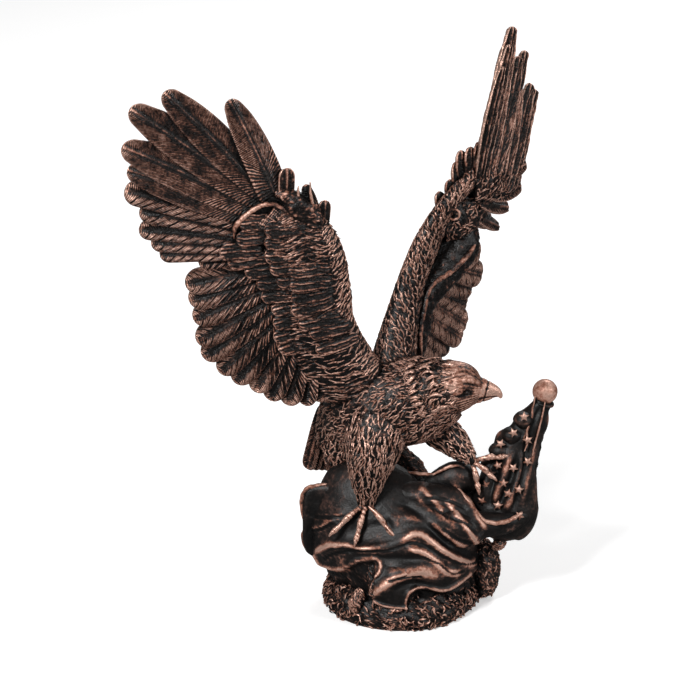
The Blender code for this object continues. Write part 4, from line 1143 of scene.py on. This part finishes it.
def bronze(name, grain, gloss, bump, line_share=0.25):
    material = bpy.data.materials.new(name)
    material.use_nodes = True
    tree = material.node_tree
    shader = tree.nodes["Principled BSDF"]
    place = tree.nodes.new("ShaderNodeTexCoord").outputs["Object"]

    def noise(scale, detail):
        made = node(tree, "ShaderNodeTexNoise", Scale=scale, Detail=detail, Roughness=0.6)
        tree.links.new(place, made.inputs["Vector"])
        return made.outputs["Fac"]

    def attribute(called):
        made = tree.nodes.new("ShaderNodeAttribute")
        made.attribute_name = called
        return made.outputs["Fac"]

    patches, specks = noise(95.0, 3.0), noise(560.0, 4.0)
    wobble = sum_of(tree, "MULTIPLY", noise(260.0, 2.0), 5.0)
    phase = sum_of(tree, "MULTIPLY_ADD", attribute("line"), 2 * math.pi / LINE_PITCH, wobble)
    lines = sum_of(tree, "MULTIPLY", sum_of(tree, "SINE", phase, None), attribute("fine"))
    # The attribute read here is copper with painted shade already taken out of crowded hollows and under the
    # brow.
    copper = sum_of(tree, "MULTIPLY_ADD", lines, line_share, attribute("rub"))
    copper = sum_of(tree, "ADD", copper, sum_of(tree, "MULTIPLY_ADD", patches, PATCHY, -PATCHY / 2))
    copper = sum_of(tree, "ADD", copper, sum_of(tree, "MULTIPLY_ADD", specks, 2 * grain, -grain))
    colours = tree.nodes.new("ShaderNodeValToRGB")
    ramp = colours.color_ramp
    ramp.elements[0].position, ramp.elements[1].position = COAT[0][0], COAT[-1][0]
    for share, _ in COAT[1:-1]:
        ramp.elements.new(share)
    for element, (_, colour) in zip(ramp.elements, COAT):
        element.color = (*colour, 1.0)
    tree.links.new(copper, colours.inputs["Fac"])
    tree.links.new(colours.outputs["Color"], shader.inputs["Base Color"])
    metal = node(tree, "ShaderNodeMapRange", From_Min=0.55, From_Max=0.90, To_Min=0.0, To_Max=0.75)
    tree.links.new(copper, metal.inputs["Value"])
    tree.links.new(metal.outputs["Result"], shader.inputs["Metallic"])
    rough = sum_of(tree, "MULTIPLY_ADD", specks, 0.30, gloss - 0.12)
    tree.links.new(rough, shader.inputs["Roughness"])
    dial(shader, Specular_IOR_Level=0.35)
    height = sum_of(tree, "MULTIPLY_ADD", lines, 0.5, sum_of(tree, "MULTIPLY", specks, 4 * grain))
    relief = node(tree, "ShaderNodeBump", Strength=bump, Distance=0.0006)
    tree.links.new(height, relief.inputs["Height"])
    tree.links.new(relief.outputs["Normal"], shader.inputs["Normal"])
    return material


feather_bronze = bronze("feather_bronze", grain=0.38, gloss=0.26, bump=0.7)
cloth_bronze = bronze("cloth_bronze", grain=0.24, gloss=0.42, bump=0.55, line_share=0.0)
rock_bronze = bronze("rock_bronze", grain=0.32, gloss=0.36, bump=0.7, line_share=0.0)
finishes = {"plinth_rock": rock_bronze, "draped_flag": cloth_bronze, "starred_corner": cloth_bronze}
for clay, mesh in zip(clays, meshes):
    mesh.materials.append(finishes.get(clay.name, feather_bronze))
    piece = bpy.data.objects.new(clay.name, mesh)
    bpy.context.scene.collection.objects.link(piece)
    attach(piece, "root")
    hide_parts("eagle_sculpture")
    triangles = sum(len(face.vertices) - 2 for face in mesh.polygons)
    print(piece.name, triangles, "triangles")

# %% [markdown]
# The stage is a pale, faintly luminous floor and a white surround. Three soft lamps give the key
# light, the fill and the rim, so the gloss shows as broad highlights. The camera stands where the
# photograph's did: square on, 20 degrees up, and far enough to see 0.62 mm in each of 680 pixels.

# %% Stage and camera
floor_net = bmesh.new()
bmesh.ops.create_grid(floor_net, x_segments=1, y_segments=1, size=4.0)
floor_mesh = bpy.data.meshes.new("floor")
floor_net.to_mesh(floor_mesh)
floor_net.free()
floor = bpy.data.objects.new("floor", floor_mesh)
pale = bpy.data.materials.new("pale_floor")
pale.use_nodes = True
dial(pale.node_tree.nodes["Principled BSDF"], Base_Color=(0.90, 0.90, 0.90, 1), Roughness=0.8,
     Emission_Color=(1.0, 1.0, 1.0, 1), Emission_Strength=0.42)
floor_mesh.materials.append(pale)
bpy.context.scene.collection.objects.link(floor)
floor.visible_glossy = False

world = bpy.data.worlds.new("surround")
world.use_nodes = True
dial(world.node_tree.nodes["Background"], Color=(1.0, 1.0, 1.0, 1), Strength=0.12)
bpy.context.scene.world = world
bpy.context.scene.view_settings.view_transform = "Standard"


def lamp(name, place, aim, size, power):
    light = bpy.data.lights.new(name, "AREA")
    light.size, light.energy = size, power
    thing = bpy.data.objects.new(name, light)
    thing.location = place
    thing.rotation_euler = (aim - thing.location).to_track_quat("-Z", "Y").to_euler()
    bpy.context.scene.collection.objects.link(thing)


middle = (cad_low + cad_high) / 2
lamp("key_lamp", (-0.9, -1.3, 1.5), middle, 0.45, 33.0)
lamp("fill_lamp", (1.3, -0.9, 0.9), middle, 0.6, 10.0)
lamp("rim_lamp", (0.5, 1.3, 1.3), middle, 0.8, 14.0)

AIM = (-0.045, 0.0, 0.172)
DISTANCE = 2.4
SEEN_WIDTH = 680 * 0.62 * MM
SENSOR = 36.0
camera_data = bpy.data.cameras.new("camera")
camera_data.sensor_width = SENSOR
camera_data.lens = SENSOR * DISTANCE / SEEN_WIDTH
camera = bpy.data.objects.new("camera", camera_data)
camera.location = (AIM[0], -DISTANCE * math.cos(LEAN), AIM[2] + DISTANCE * math.sin(LEAN))
camera.rotation_euler = (math.pi / 2 - LEAN, 0.0, 0.0)
bpy.context.scene.collection.objects.link(camera)
bpy.context.scene.camera = camera
print("camera", [round(v, 3) for v in camera.location])
